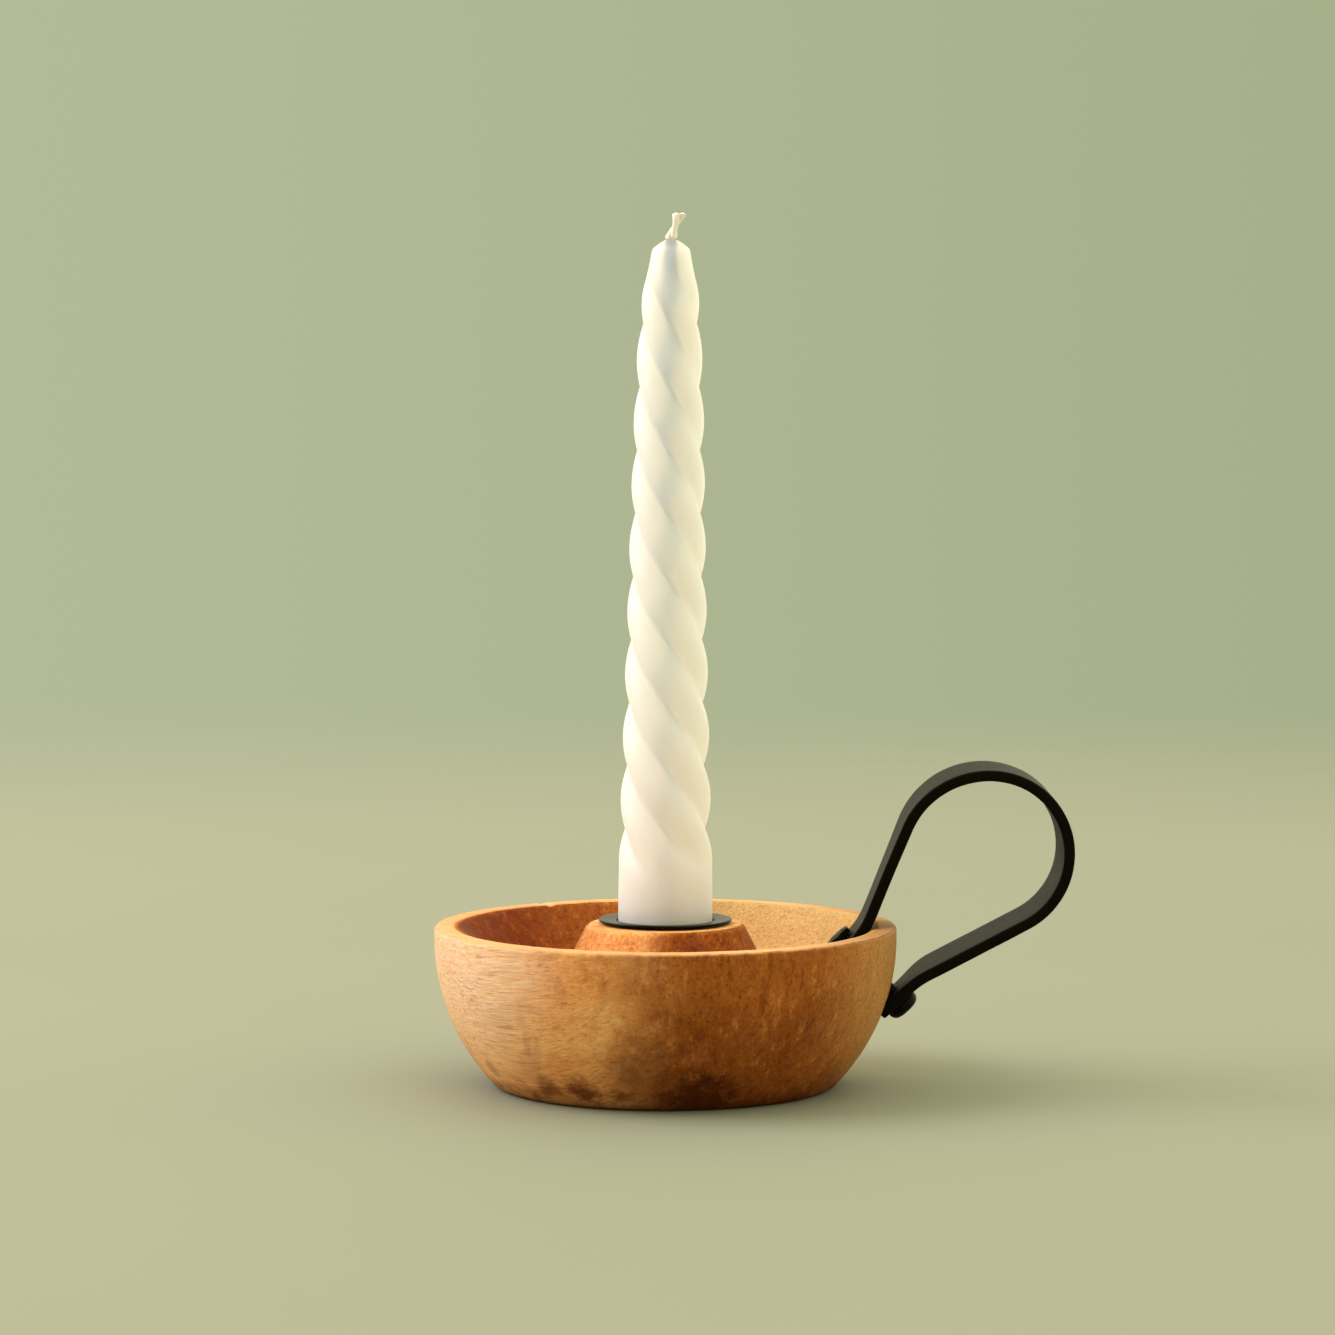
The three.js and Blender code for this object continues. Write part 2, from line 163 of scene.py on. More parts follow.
def refine(points, step):
    """The same outline without repeated points, and with no stretch longer than the step."""
    fine = [points[0]]
    for end in points[1:]:
        start = fine[-1]
        length = (end - start).length
        pieces = math.ceil(length / step) if length > 1e-4 else 0
        fine.extend(start.lerp(end, (i + 1) / pieces) for i in range(pieces))
    return fine


def crossing(point_a, angle_a, point_b, angle_b):
    """Where two lines meet, each given by a point and a direction angle."""
    direction_a = unit(angle_a)
    direction_b = unit(angle_b)
    between = point_b - point_a
    return point_a + direction_a * (between.cross(direction_b) / direction_a.cross(direction_b))


def smoothstep(start, end, value):
    """From 0 to 1 in a smooth S, between start and end."""
    share = min(1.0, max(0.0, (value - start) / (end - start)))
    return share * share * (3 - 2 * share)


def dents(position, size):
    """A smooth pseudo-random value from 0 to 1, in patches of about the given size."""
    return 0.5 + 0.5 * noise.noise(Vector(position) / size)


# ---------- Mesh helpers ----------


def new_object(name, data):
    made = bpy.data.objects.new(name, data)
    bpy.context.scene.collection.objects.link(made)
    return made


def mesh_object(name, vertices, faces, sharp=35):
    """An object from vertices in millimetres, shaded smooth except along sharp edges."""
    mesh = bpy.data.meshes.new(name)
    mesh.from_pydata([Vector(v) * MM for v in vertices], [], faces)
    mesh.validate()
    made = new_object(name, mesh)
    finish_mesh(made, sharp)
    return made


def finish_mesh(made, sharp):
    """Points the faces outwards, and marks edges sharper than an angle in degrees."""
    work = bmesh.new()
    work.from_mesh(made.data)
    bmesh.ops.remove_doubles(work, verts=work.verts, dist=1e-7)
    bmesh.ops.recalc_face_normals(work, faces=work.faces)
    work.to_mesh(made.data)
    work.free()
    made.data.shade_smooth()
    made.data.set_sharp_from_angle(angle=math.radians(sharp))


def polar(radius, angle, z):
    """A point at a distance and an angle round the Z axis, and at a height."""
    return Vector((radius * math.cos(angle), radius * math.sin(angle), z))


def circle(radius, z, segments=24):
    return [polar(radius, math.tau * i / segments, z) for i in range(segments)]


def lathe(profile, segments, shape=None):
    """Vertices and faces turned from a profile of (radius, height). It starts on the axis, or closes
    on itself. The shape function moves each vertex."""
    rings = []
    vertices = []
    for radius, height in profile:
        count = 1 if radius < 1e-6 else segments
        rings.append((len(vertices), count))
        for i in range(count):
            angle = math.tau * i / segments
            point = polar(radius, angle, height)
            vertices.append(shape(point, radius, angle) if shape else point)
    pairs = list(zip(rings, rings[1:]))
    if rings[0][1] > 1:
        pairs.append((rings[-1], rings[0]))
    faces = []
    for (start_a, count_a), (start_b, count_b) in pairs:
        for i in range(segments):
            j = (i + 1) % segments
            if count_a == 1:
                faces.append((start_a, start_b + j, start_b + i))
            elif count_b == 1:
                faces.append((start_a + i, start_a + j, start_b))
            else:
                faces.append((start_a + i, start_a + j, start_b + j, start_b + i))
    return vertices, faces


def loft(rings, closed=False):
    """Vertices and faces through rings of equal length. The last ring is joined to the first, or
    each end has a flat cap."""
    count = len(rings[0])
    vertices = [v for ring in rings for v in ring]
    faces = []
    rows = len(rings) if closed else len(rings) - 1
    for row in range(rows):
        here = row * count
        following = ((row + 1) % len(rings)) * count
        for i in range(count):
            j = (i + 1) % count
            faces.append((here + i, here + j, following + j, following + i))
    if not closed:
        last = (len(rings) - 1) * count
        faces.append(tuple(range(count - 1, -1, -1)))
        faces.append(tuple(range(last, last + count)))
    return vertices, faces


def cut(target, tool, sharp=35):
    """Cuts a tool out of the target, and removes the tool."""
    modifier = target.modifiers.new("cut", "BOOLEAN")
    modifier.operation = "DIFFERENCE"
    modifier.solver = "EXACT"
    modifier.object = tool
    graph = bpy.context.evaluated_depsgraph_get()
    result = bpy.data.meshes.new_from_object(target.evaluated_get(graph))
    target.modifiers.clear()
    target.data = result
    bpy.data.objects.remove(tool)
    finish_mesh(target, sharp)


def box_tool(low, high, transform):
    """A block between two corners, placed by a transform in millimetres."""
    corners = [transform @ Vector(corner) for corner in product(*zip(low, high))]
    faces = [(0, 1, 3, 2), (4, 6, 7, 5), (0, 4, 5, 1), (2, 3, 7, 6), (0, 2, 6, 4), (1, 5, 7, 3)]
    return mesh_object("tool", corners, faces)


def bolt_hole_tool(low, high):
    """A pin along the bolt, between two heights in the bolt's own frame."""
    profile = [(0, low), (HOLE_RADIUS, low), (HOLE_RADIUS, high), (0, high)]
    vertices, faces = lathe(profile, 48)
    return mesh_object("tool", [BOLT_FRAME @ v for v in vertices], faces)


def hand_in(made, body, node, material):
    """Gives a piece its material and slot, its body, and the CAD node that it replaces."""
    made.data.materials.clear()
    made.data.materials.append(material)
    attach(made, body)
    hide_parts(node)


# ---------- Node helpers ----------


def new_material(name):
    material = bpy.data.materials.new(name)
    material.use_nodes = True
    return material, material.node_tree, material.node_tree.nodes["Principled BSDF"]


def connect(tree, node, inputs):
    """Links or sets each input of a node. Colours are given without their alpha."""
    for key, value in inputs.items():
        socket = node.inputs[key]
        if isinstance(value, bpy.types.NodeSocket):
            tree.links.new(value, socket)
        elif socket.type == "RGBA":
            socket.default_value = (*value, 1)
        else:
            socket.default_value = value


def add_node(tree, kind, inputs=None, **settings):
    made = tree.nodes.new("ShaderNode" + kind)
    for setting, value in settings.items():
        setattr(made, setting, value)
    connect(tree, made, inputs or {})
    return made


def maths(tree, operation, first, second=0.0, third=0.0):
    inputs = {0: first, 1: second, 2: third}
    return add_node(tree, "Math", inputs, operation=operation).outputs[0]


def multiply(tree, first, *others):
    for value in others:
        first = maths(tree, "MULTIPLY", first, value)
    return first


def vector_maths(tree, operation, first, second=(0, 0, 0), output="Vector"):
    return add_node(tree, "VectorMath", {0: first, 1: second}, operation=operation).outputs[output]


def separate(tree, vector):
    return tuple(add_node(tree, "SeparateXYZ", {0: vector}).outputs)


def mix_colour(tree, factor, first, second, blend="MIX"):
    made = add_node(tree, "Mix", {0: factor, 6: first, 7: second}, data_type="RGBA", blend_type=blend)
    return made.outputs[2]


def remap(tree, value, low, high, to_low=0.0, to_high=1.0, kind="SMOOTHSTEP"):
    inputs = {"Value": value, "From Min": low, "From Max": high, "To Min": to_low, "To Max": to_high}
    return add_node(tree, "MapRange", inputs, interpolation_type=kind).outputs["Result"]


def stretched(tree, vector, scale):
    return add_node(tree, "Mapping", {"Vector": vector, "Scale": scale}).outputs[0]


def noise_at(tree, vector, scale, detail=3.0, roughness=0.5, distortion=0.0, output="Fac"):
    """Noise with one scale, or with a scale for each axis."""
    if isinstance(scale, tuple):
        vector = stretched(tree, vector, scale)
        scale = 1.0
    inputs = {"Vector": vector, "Scale": scale, "Detail": detail, "Roughness": roughness}
    inputs["Distortion"] = distortion
    return add_node(tree, "TexNoise", inputs).outputs[output]


def bump(tree, height, distance, strength):
    inputs = {"Height": height, "Distance": distance, "Strength": strength}
    return add_node(tree, "Bump", inputs).outputs[0]


def millimetres(tree, rotation=(0, 0, 0)):
    """The surface point in millimetres, turned."""
    point = add_node(tree, "TexCoord").outputs["Object"]
    inputs = {"Vector": point, "Rotation": rotation, "Scale": (1 / MM, 1 / MM, 1 / MM)}
    return add_node(tree, "Mapping", inputs).outputs[0]


# ---------- Camera, light, room and floor, in metres ----------

CAMERA_POSITION = Vector((0.0005, -0.9858, 0.15915))
CAMERA_PITCH = math.radians(3.6)  # downwards
KEY_POSITION = Vector((-1.75, 0.1, 1.45))
KEY_AIM = Vector((0.01, 0, 0.06))
ROOM_TINT = (1.0, 0.955, 0.68)
# The wall's colours, left and right: painted light, lighter on the left where the key light falls.
WALL_LIGHT_FALLOFF_COLOURS = ((0.455, 0.493, 0.318), (0.385, 0.43, 0.255))  # left and right
FLOOR_RADIUS = 1.3
FLOOR_FADE_START = 0.5
FLOOR_COLOURS = ((0.278, 0.293, 0.224), (0.293, 0.308, 0.234))


def make_camera():
    data = bpy.data.cameras.new("camera")
    data.sensor_width = 36
    data.lens = 115
    camera = new_object("camera", data)
    camera.location = CAMERA_POSITION
    camera.rotation_euler = (math.pi / 2 - CAMERA_PITCH, 0, 0)
    bpy.context.scene.camera = camera


def make_key_light():
    data = bpy.data.lights.new("key_light", "AREA")
    data.shape = "SQUARE"
    data.size = 1.35
    data.energy = 37
    data.color = (1.0, 0.92, 0.97)
    light = new_object("key_light", data)
    light.location = KEY_POSITION
    light.rotation_euler = (KEY_AIM - KEY_POSITION).to_track_quat("-Z", "Y").to_euler()


def make_room():
    """Soft light from all round, and a wall where the camera looks at it, painted lighter on the left
    where the key light falls.
    """
    world = bpy.data.worlds.new("studio")
    world.use_nodes = True
    tree = world.node_tree
    x, y, z = separate(tree, add_node(tree, "TexCoord").outputs["Generated"])
    # It is dark straight behind the camera, and bright overhead, behind the object and to the right.
    room = remap(tree, y, -0.96, -0.5, 0.34, 0.66, "LINEAR")
    for axis, start, end, gain in ((y, -0.5, 0.8, 0.46), (z, 0, 1, 0.54), (x, 0, 1, 0.46)):
        room = maths(tree, "ADD", room, remap(tree, axis, start, end, 0, gain, "LINEAR"))
    room_colour = mix_colour(tree, 1.0, ROOM_TINT, room, "MULTIPLY")
    # Painted light: the wall is lighter on the left, towards the key light.
    wall = mix_colour(tree, remap(tree, x, -0.2, 0.2), *WALL_LIGHT_FALLOFF_COLOURS)
    seen = add_node(tree, "LightPath").outputs["Is Camera Ray"]
    connect(tree, tree.nodes["Background"], {"Color": mix_colour(tree, seen, room_colour, wall)})
    bpy.context.scene.world = world


def floor_material():
    """Matt paint that fades into the wall's colour towards the edge."""
    material, tree, shader = new_material("floor_paint")
    colour = mix_colour(tree, noise_at(tree, millimetres(tree), 0.006), *FLOOR_COLOURS)
    connect(tree, shader, {"Base Color": colour, "Roughness": 0.8, "Specular IOR Level": 0.2})
    radius = vector_maths(tree, "LENGTH", add_node(tree, "TexCoord").outputs["Object"], output="Value")
    fade = remap(tree, radius, FLOOR_FADE_START, FLOOR_RADIUS, 1.0, 0.0)
    clear = add_node(tree, "BsdfTransparent")
    mixed = add_node(tree, "MixShader", {0: fade, 1: clear.outputs[0], 2: shader.outputs[0]})
    connect(tree, tree.nodes["Material Output"], {"Surface": mixed.outputs[0]})
    return material


def make_floor():
    profile = [(radius, 0) for radius in evenly(0, FLOOR_RADIUS / MM, 12)]
    vertices, faces = lathe(profile, 96)
    floor = mesh_object("floor", vertices, [face[::-1] for face in faces])  # facing up
    floor.location.z = -0.05 * MM  # just clear of the bowl
    floor.data.materials.append(floor_material())


# ---------- Bowl ----------

GRAIN_AZIMUTH = math.radians(-45)  # the way the fibres run
GRAIN_TILT = math.radians(2.5)
# Where the pale sapwood, with its painted sheen of the key light, faces.
SAPWOOD_AND_SHEEN_AZIMUTH = math.radians(-155)
# Towards the inner wall that the key light falls on, which is given a painted sheen.
LIT_WALL_SHEEN_AZIMUTH = math.radians(25)
BOWL_SHARP = 50  # degrees

# Wear, as the most that it takes off.
SIDE_WAVES = 0.16
SIDE_DENTS = 0.05
RIM_WAVES = 0.12
RIM_DENTS = 0.1
NICK_THRESHOLD = 0.35  # of the noise
NICK_INWARDS = 0.5
NICK_DOWN = 0.4
CHIP_AZIMUTH = math.radians(125)
CHIP_WIDTH = 0.7
CHIP_DEPTH = 0.4

# Linear colours of the wood, and tints that multiply them.
SIDE_GOLD = (0.93, 0.47, 0.175)
SIDE_BROWN = (0.82, 0.33, 0.10)
SIDE_STREAK = (0.50, 0.19, 0.045)
SIDE_GLEAM = (0.94, 0.60, 0.28)
END_BROWN = (0.40, 0.115, 0.016)
END_DARK = (0.28, 0.072, 0.0095)
END_STROKE = (0.17, 0.035, 0.006)
END_GLEAM = (0.66, 0.25, 0.06)
FIGURE = (0.36, 0.11, 0.018)
PURPLE_CAST = (0.34, 0.12, 0.06)
PURPLE_PATCH = (0.17, 0.035, 0.022)
# Sapwood colours, pale enough to carry the painted sheen of the key light on the left.
SAPWOOD_AND_SHEEN = (0.97, 0.72, 0.53)
SAPWOOD_AND_SHEEN_LINE = (0.91, 0.56, 0.32)
# Painted sheen where the key light falls on the inner wall, and painted light from behind on the outside
# by the handle.
LIT_WALL_SHEEN = (0.44, 0.31, 0.13)
BACK_LIGHT_COLOUR = (0.66, 0.37, 0.12)
PIT = (0.16, 0.05, 0.012)
WORN_RIM = (0.70, 0.42, 0.21)
# Painted shade on the inner wall away from the handle.
SHADED_WALL_TINT = (0.66, 0.40, 0.08)
BOSS_TINT = (0.80, 0.66, 0.55)
HAIRLINE_TINT = (0.48, 0.36, 0.26)
FLECK_TINT = (1.24, 1.36, 1.5)
# Stains, and painted shade low on the bowl.
STAIN_AND_SHADE_TINT = (0.22, 0.13, 0.07)
# Painted shade on the top of the rim beside the handle.
RIM_SHADE_TINT = (0.56, 0.52, 0.45)

BOSS_STREAKS = 44  # in each radian, about
PATCH_CENTRE = (7, -21, 32)

# Dark blotches low on the bowl, partly stains and partly painted shade where the bowl turns under towards
# the floor: (centre, radius, strength).
STAINS_AND_SHADE = (
    ((-39, -22, 7), 3, 0.4),
    ((-27, -35, 3), 4.5, 0.8),
    ((-19, -40, 3), 5.5, 0.95),
    ((-10, -43, 2), 5, 0.9),
    ((-5, -46, 8), 12, 0.5),
    ((8, -43, 1), 12, 0.9),
    ((36, -25, 1), 9, 0.5),
)


def bowl_profile():
    """The bowl's outline from the middle of its base, over the rim and the boss, to the pilot hole."""
    side_centre = BOWL_RADIUS - SIDE_ARC_RADIUS
    drop = SIDE_ARC_HEIGHT - BASE_ROUND_RADIUS
    reach = math.sqrt((SIDE_ARC_RADIUS - BASE_ROUND_RADIUS) ** 2 - drop**2)
    base_round = side_centre + reach
    join = -math.degrees(math.atan2(drop, reach))
    slope = math.degrees(WALL_SLOPE)
    boss_slope = math.degrees(BOSS_SLOPE)
    lip_radius = (RIM_INNER_RADIUS - WALL_TOP_RADIUS) / math.tan(WALL_SLOPE / 2)
    trough_centre = crossing(
        Vector((WALL_TOP_RADIUS, BOWL_HEIGHT)) + unit(WALL_SLOPE + math.pi / 2) * TROUGH_RADIUS,
        WALL_SLOPE,
        Vector((BOSS_TOP_RADIUS, BOSS_HEIGHT)) + unit(math.pi / 2 - BOSS_SLOPE) * TROUGH_RADIUS,
        math.pi - BOSS_SLOPE,
    )
    setback = BOSS_EDGE_RADIUS * math.tan(BOSS_SLOPE / 2)
    rim_edge = (BOWL_RADIUS - RIM_EDGE_RADIUS, BOWL_HEIGHT - RIM_EDGE_RADIUS)
    boss_edge = (BOSS_TOP_RADIUS - setback, BOSS_HEIGHT - BOSS_EDGE_RADIUS)
    outline = [
        Vector((0, 0)),
        *arc((base_round, BASE_ROUND_RADIUS), BASE_ROUND_RADIUS, -90, join),
        *arc((side_centre, SIDE_ARC_HEIGHT), SIDE_ARC_RADIUS, join, 0)[1:],
        *arc(rim_edge, RIM_EDGE_RADIUS, 0, 90, 0.3),
        *arc((RIM_INNER_RADIUS, BOWL_HEIGHT - lip_radius), lip_radius, 90, 90 + slope),
        *arc(trough_centre, TROUGH_RADIUS, slope - 90, -90 - boss_slope),
        *arc(boss_edge, BOSS_EDGE_RADIUS, 90 - boss_slope, 90, 0.3),
        Vector((SOCKET_RADIUS, BOSS_HEIGHT)),
        Vector((SOCKET_RADIUS, SOCKET_FLOOR)),
        Vector((PILOT_RADIUS, SOCKET_FLOOR)),
        Vector((PILOT_RADIUS, PILOT_BOTTOM)),
        Vector((0, PILOT_BOTTOM)),
    ]
    return refine(outline, 1.0)


def worn_bowl(point, radius, angle):
    """Hand-turned unevenness, a worn rim and a small chip. Everything is cut inwards."""
    near_rim = smoothstep(BOWL_HEIGHT - 6, BOWL_HEIGHT, point.z) * smoothstep(40, 47, radius)
    outwards = polar(1, angle, 0)
    moved = point.copy()
    if radius > SOCKET_RADIUS + 2 and point.z > 1:
        outer = smoothstep(0, 6, radius - 40 + (BOWL_HEIGHT - point.z) * 0.2)
        waves = dents(point, 21)
        fine = dents(point, 4.5)
        nick = max(0.0, noise.noise(Vector((angle * 22, point.z * 0.35, 3.1))) - NICK_THRESHOLD)
        moved -= outwards * outer * (SIDE_WAVES * waves + SIDE_DENTS * fine)
        moved -= outwards * near_rim * NICK_INWARDS * nick
        moved.z -= near_rim * (RIM_WAVES * waves + RIM_DENTS * fine + NICK_DOWN * nick)
    across = radius * math.remainder(angle - CHIP_AZIMUTH, math.tau)
    moved.z -= CHIP_DEPTH * near_rim * math.exp(-((across / CHIP_WIDTH) ** 2))
    return moved


def seat_tools():
    """The blocks that cut a flat for each foot of the strap."""
    back = -FOOT_OVERHANG - GAP
    half = STRAP_WIDTH / 2 + GAP
    inner_floor = -STRAP_THICKNESS / 2 - GAP
    outer_floor = -FOOT_SPACING + STRAP_THICKNESS / 2 + GAP
    return [
        box_tool((back, -half, low), (SEAT_FRONT, half, high), BOLT_FRAME)
        for low, high in ((inner_floor, inner_floor + SEAT_DEPTH), (outer_floor - SEAT_DEPTH, outer_floor))
    ]


def make_bowl():
    vertices, faces = lathe(bowl_profile(), 400, worn_bowl)
    bowl = mesh_object("turned_bowl", vertices, faces, BOWL_SHARP)
    cut(bowl, bolt_hole_tool(-FOOT_SPACING - HOLE_REACH, HOLE_REACH), BOWL_SHARP)
    for tool in seat_tools():
        cut(bowl, tool, BOWL_SHARP)
    hand_in(bowl, "root", "bowl", wood_material())


def wood_material():
    """Oiled mango wood: pale sapwood on the left with a painted sheen of the key light, golden side grain,
    dark end grain, and painted light and shade on the walls and low down.
    """
    material, tree, shader = new_material("oiled_mango_wood")
    at = wood_fields(tree)
    colour = mix_colour(tree, at.end_grain, side_grain_colour(tree, at), end_grain_colour(tree, at))
    # Among these layers, the pale left side carries a painted sheen, and the walls get painted light and
    # shade.
    for add_layer in (add_figure, add_sapwood_and_sheen, add_painted_light_and_shade, add_boss_streaks, add_fine_texture):
        colour = add_layer(tree, at, colour)
    # The blotches and foot line carry painted shade low down, and the rim is painted darker beside the
    # handle.
    colour = add_rim_wear_and_shade(tree, at, add_stains_and_shade(tree, at, colour))
    rough = remap(tree, noise_at(tree, at.raw, 0.12), 0.3, 0.7, 0.55, 0.7, "LINEAR")
    relief = noise_at(tree, at.grain, (0.06, 1.7, 1.7), 3, 0.6)
    inputs = {
        "Base Color": colour,
        "Roughness": rough,
        "Specular IOR Level": 0.06,
        "Normal": bump(tree, relief, distance=0.00025, strength=0.7),
    }
    connect(tree, shader, inputs)
    return material


def wood_fields(tree):
    """What the layers of the wood share: places in millimetres, and masks from 0 to 1."""
    raw = millimetres(tree)
    x, y, z = separate(tree, raw)
    radius = maths(tree, "SQRT", maths(tree, "ADD", multiply(tree, x, x), multiply(tree, y, y)))
    normal = add_node(tree, "TexCoord").outputs["Normal"]
    upwards = separate(tree, normal)[2]
    within_rim = remap(tree, radius, RIM_INNER_RADIUS, RIM_INNER_RADIUS - 1)
    inside = multiply(tree, remap(tree, upwards, 0.3, 0.6), within_rim)
    grain = bent_grain(tree)
    fields = SimpleNamespace(raw=raw, x=x, z=z, radius=radius, upwards=upwards, inside=inside, grain=grain)
    fields.upright = remap(tree, upwards, 0.5, 0.9, 1.0, 0.3)
    fields.broad = noise_at(tree, grain, (0.016, 0.04, 0.05), 4, 0.55)
    fields.end_grain = end_grain_mask(tree, normal, upwards, grain)
    return fields


def bent_grain(tree):
    """The place along and across the fibres, which slow waves bend."""
    spun = millimetres(tree, rotation=(0, GRAIN_TILT, -GRAIN_AZIMUTH))
    waves = noise_at(tree, spun, (0.012, 0.03, 0.03), 2, output="Color")
    centred = vector_maths(tree, "SUBTRACT", waves, (0.5, 0.5, 0.5))
    return vector_maths(tree, "ADD", spun, vector_maths(tree, "MULTIPLY", centred, (0, 9, 9)))


def end_grain_mask(tree, normal, upwards, grain):
    """End grain shows where the side of the turning faces along the fibres, whatever its slope."""
    fibres = (math.cos(GRAIN_AZIMUTH), math.sin(GRAIN_AZIMUTH), 0)
    facing = vector_maths(tree, "DOT_PRODUCT", normal, fibres, "Value")
    level = maths(tree, "MULTIPLY_ADD", multiply(tree, upwards, upwards), -1, 1)
    level = maths(tree, "SQRT", maths(tree, "MAXIMUM", level, 0.2))
    facing = maths(tree, "DIVIDE", maths(tree, "ABSOLUTE", facing), level)
    ragged = noise_at(tree, grain, (0.05, 0.25, 0.25), 5, 0.7)
    return remap(tree, maths(tree, "MULTIPLY_ADD", ragged, 0.3, facing), 0.58, 0.94)


def side_grain_colour(tree, at):
    """Golden brown, with streaks along the fibres."""
    colour = mix_colour(tree, remap(tree, at.broad, 0.36, 0.66), SIDE_GOLD, SIDE_BROWN)
    streaks = noise_at(tree, at.grain, (0.014, 0.36, 0.36), 5, 0.66)
    colour = mix_colour(tree, remap(tree, streaks, 0.52, 0.7, 0.0, 0.45), colour, SIDE_STREAK)
    return mix_colour(tree, remap(tree, streaks, 0.46, 0.3, 0.0, 0.4), colour, SIDE_GLEAM)


def end_grain_colour(tree, at):
    """Dark saturated brown, with upright strokes."""
    colour = mix_colour(tree, remap(tree, at.broad, 0.36, 0.66), END_BROWN, END_DARK)
    strokes = noise_at(tree, at.raw, (0.42, 0.42, 0.13), 5, 0.72)
    colour = mix_colour(tree, remap(tree, strokes, 0.47, 0.32, 0.0, 0.6), colour, END_GLEAM)
    return mix_colour(tree, remap(tree, strokes, 0.51, 0.66, 0.0, 0.65), colour, END_STROKE)


def add_figure(tree, at, colour):
    """Darker figure in drifts, and a faint purple cast here and there."""
    figure = noise_at(tree, at.raw, (0.09, 0.09, 0.07), 6, 0.72, 0.4)
    colour = mix_colour(tree, remap(tree, figure, 0.5, 0.68, 0.0, 0.5), colour, FIGURE)
    cast = noise_at(tree, at.raw, (0.05, 0.05, 0.11), 4, 0.6)
    return mix_colour(tree, remap(tree, cast, 0.56, 0.72, 0.0, 0.25), colour, PURPLE_CAST)


def distance_towards(tree, at, azimuth):
    """How far the surface is out from the axis, in one direction."""
    direction = (math.cos(azimuth), math.sin(azimuth), 0)
    return vector_maths(tree, "DOT_PRODUCT", at.raw, direction, "Value")


def add_sapwood_and_sheen(tree, at, colour):
    """Pale sapwood down the left, painted paler still as the sheen of the key light there; outside only
    and fainter on top of the rim.
    """
    depth = maths(tree, "MULTIPLY_ADD", at.broad, 12.0, distance_towards(tree, at, SAPWOOD_AND_SHEEN_AZIMUTH))
    outside = maths(tree, "SUBTRACT", 1.0, at.inside)
    # Sapwood, with a painted sheen where the key light falls on the left side.
    sap_and_sheen = multiply(tree, remap(tree, depth, 45, 61, 0.0, 0.8), outside, at.upright)
    lines = remap(tree, noise_at(tree, at.raw, (0.12, 0.12, 1.6), 5, 0.7), 0.35, 0.65)
    return mix_colour(tree, sap_and_sheen, colour, mix_colour(tree, lines, SAPWOOD_AND_SHEEN, SAPWOOD_AND_SHEEN_LINE))


def add_painted_light_and_shade(tree, at, colour):
    """Painted light and shade: the inner wall is duller towards the handle, a painted sheen where the key
    light falls, and redder away from it, in painted shade; the outside by the handle is painted lighter
    and yellower, as light from behind."""
    near = distance_towards(tree, at, LIT_WALL_SHEEN_AZIMUTH)
    inner_wall = multiply(tree, at.inside, remap(tree, at.radius, 24, 30))
    # Painted sheen: the inner wall towards the handle, which the key light falls on, is made duller.
    lit_wall_sheen = multiply(tree, remap(tree, near, 16, 30, 0.0, 0.72), inner_wall)
    colour = mix_colour(tree, lit_wall_sheen, colour, LIT_WALL_SHEEN)
    # Painted shade: the inner wall away from the handle, in shade from the key light, is made redder and
    # darker.
    far = multiply(tree, remap(tree, near, 8, -26), inner_wall)
    colour = mix_colour(tree, far, colour, SHADED_WALL_TINT, "MULTIPLY")
    # Painted light from behind: the outside by the handle is made lighter and yellower.
    back_light = remap(tree, maths(tree, "MULTIPLY_ADD", at.broad, 6.0, at.x), 34, 56, 0.0, 0.6)
    return mix_colour(tree, multiply(tree, back_light, at.upright), colour, BACK_LIGHT_COLOUR)


def add_boss_streaks(tree, at, colour):
    """The side of the boss is streaked and reddish, with a purple patch at the front."""
    below_top = remap(tree, at.z, BOSS_HEIGHT - 0.4, BOSS_HEIGHT - 1.2)
    side = multiply(tree, remap(tree, at.radius, 32, 28), below_top)
    direction = vector_maths(tree, "NORMALIZE", at.raw)
    streaks = noise_at(tree, direction, (BOSS_STREAKS, BOSS_STREAKS, 1), 4, 0.7)
    reddened = multiply(tree, side, remap(tree, streaks, 0.4, 0.6))
    colour = mix_colour(tree, reddened, colour, BOSS_TINT, "MULTIPLY")
    ragged = noise_at(tree, at.raw, 0.5, 4, 0.7)
    away = vector_maths(tree, "DISTANCE", at.raw, PATCH_CENTRE, "Value")
    patch = remap(tree, maths(tree, "MULTIPLY_ADD", ragged, -5.0, away), 5, -1, 0.0, 0.6)
    return mix_colour(tree, multiply(tree, patch, side), colour, PURPLE_PATCH)


def add_fine_texture(tree, at, colour):
    """Hairlines along the fibres, pores and bright flecks: what is sharp from close up."""
    lines = noise_at(tree, at.grain, (0.05, 1.5, 1.5), 4, 0.72)
    pores = noise_at(tree, at.raw, (1.5, 1.5, 1.1), 3, 0.6)
    speckled = maths(tree, "MAXIMUM", at.end_grain, at.inside)
    detail = add_node(tree, "Mix", {0: speckled, 2: lines, 3: pores}).outputs[0]
    colour = mix_colour(tree, remap(tree, detail, 0.52, 0.68, 0.0, 0.6), colour, HAIRLINE_TINT, "MULTIPLY")
    colour = mix_colour(tree, remap(tree, detail, 0.48, 0.32, 0.0, 0.62), colour, FLECK_TINT, "MULTIPLY")
    cells = {"Vector": stretched(tree, at.grain, (0.3, 1.6, 1.6)), "Scale": 1.0}
    pits = add_node(tree, "TexVoronoi", cells).outputs["Distance"]
    return mix_colour(tree, remap(tree, pits, 0.24, 0.1, 0.0, 0.16), colour, PIT)


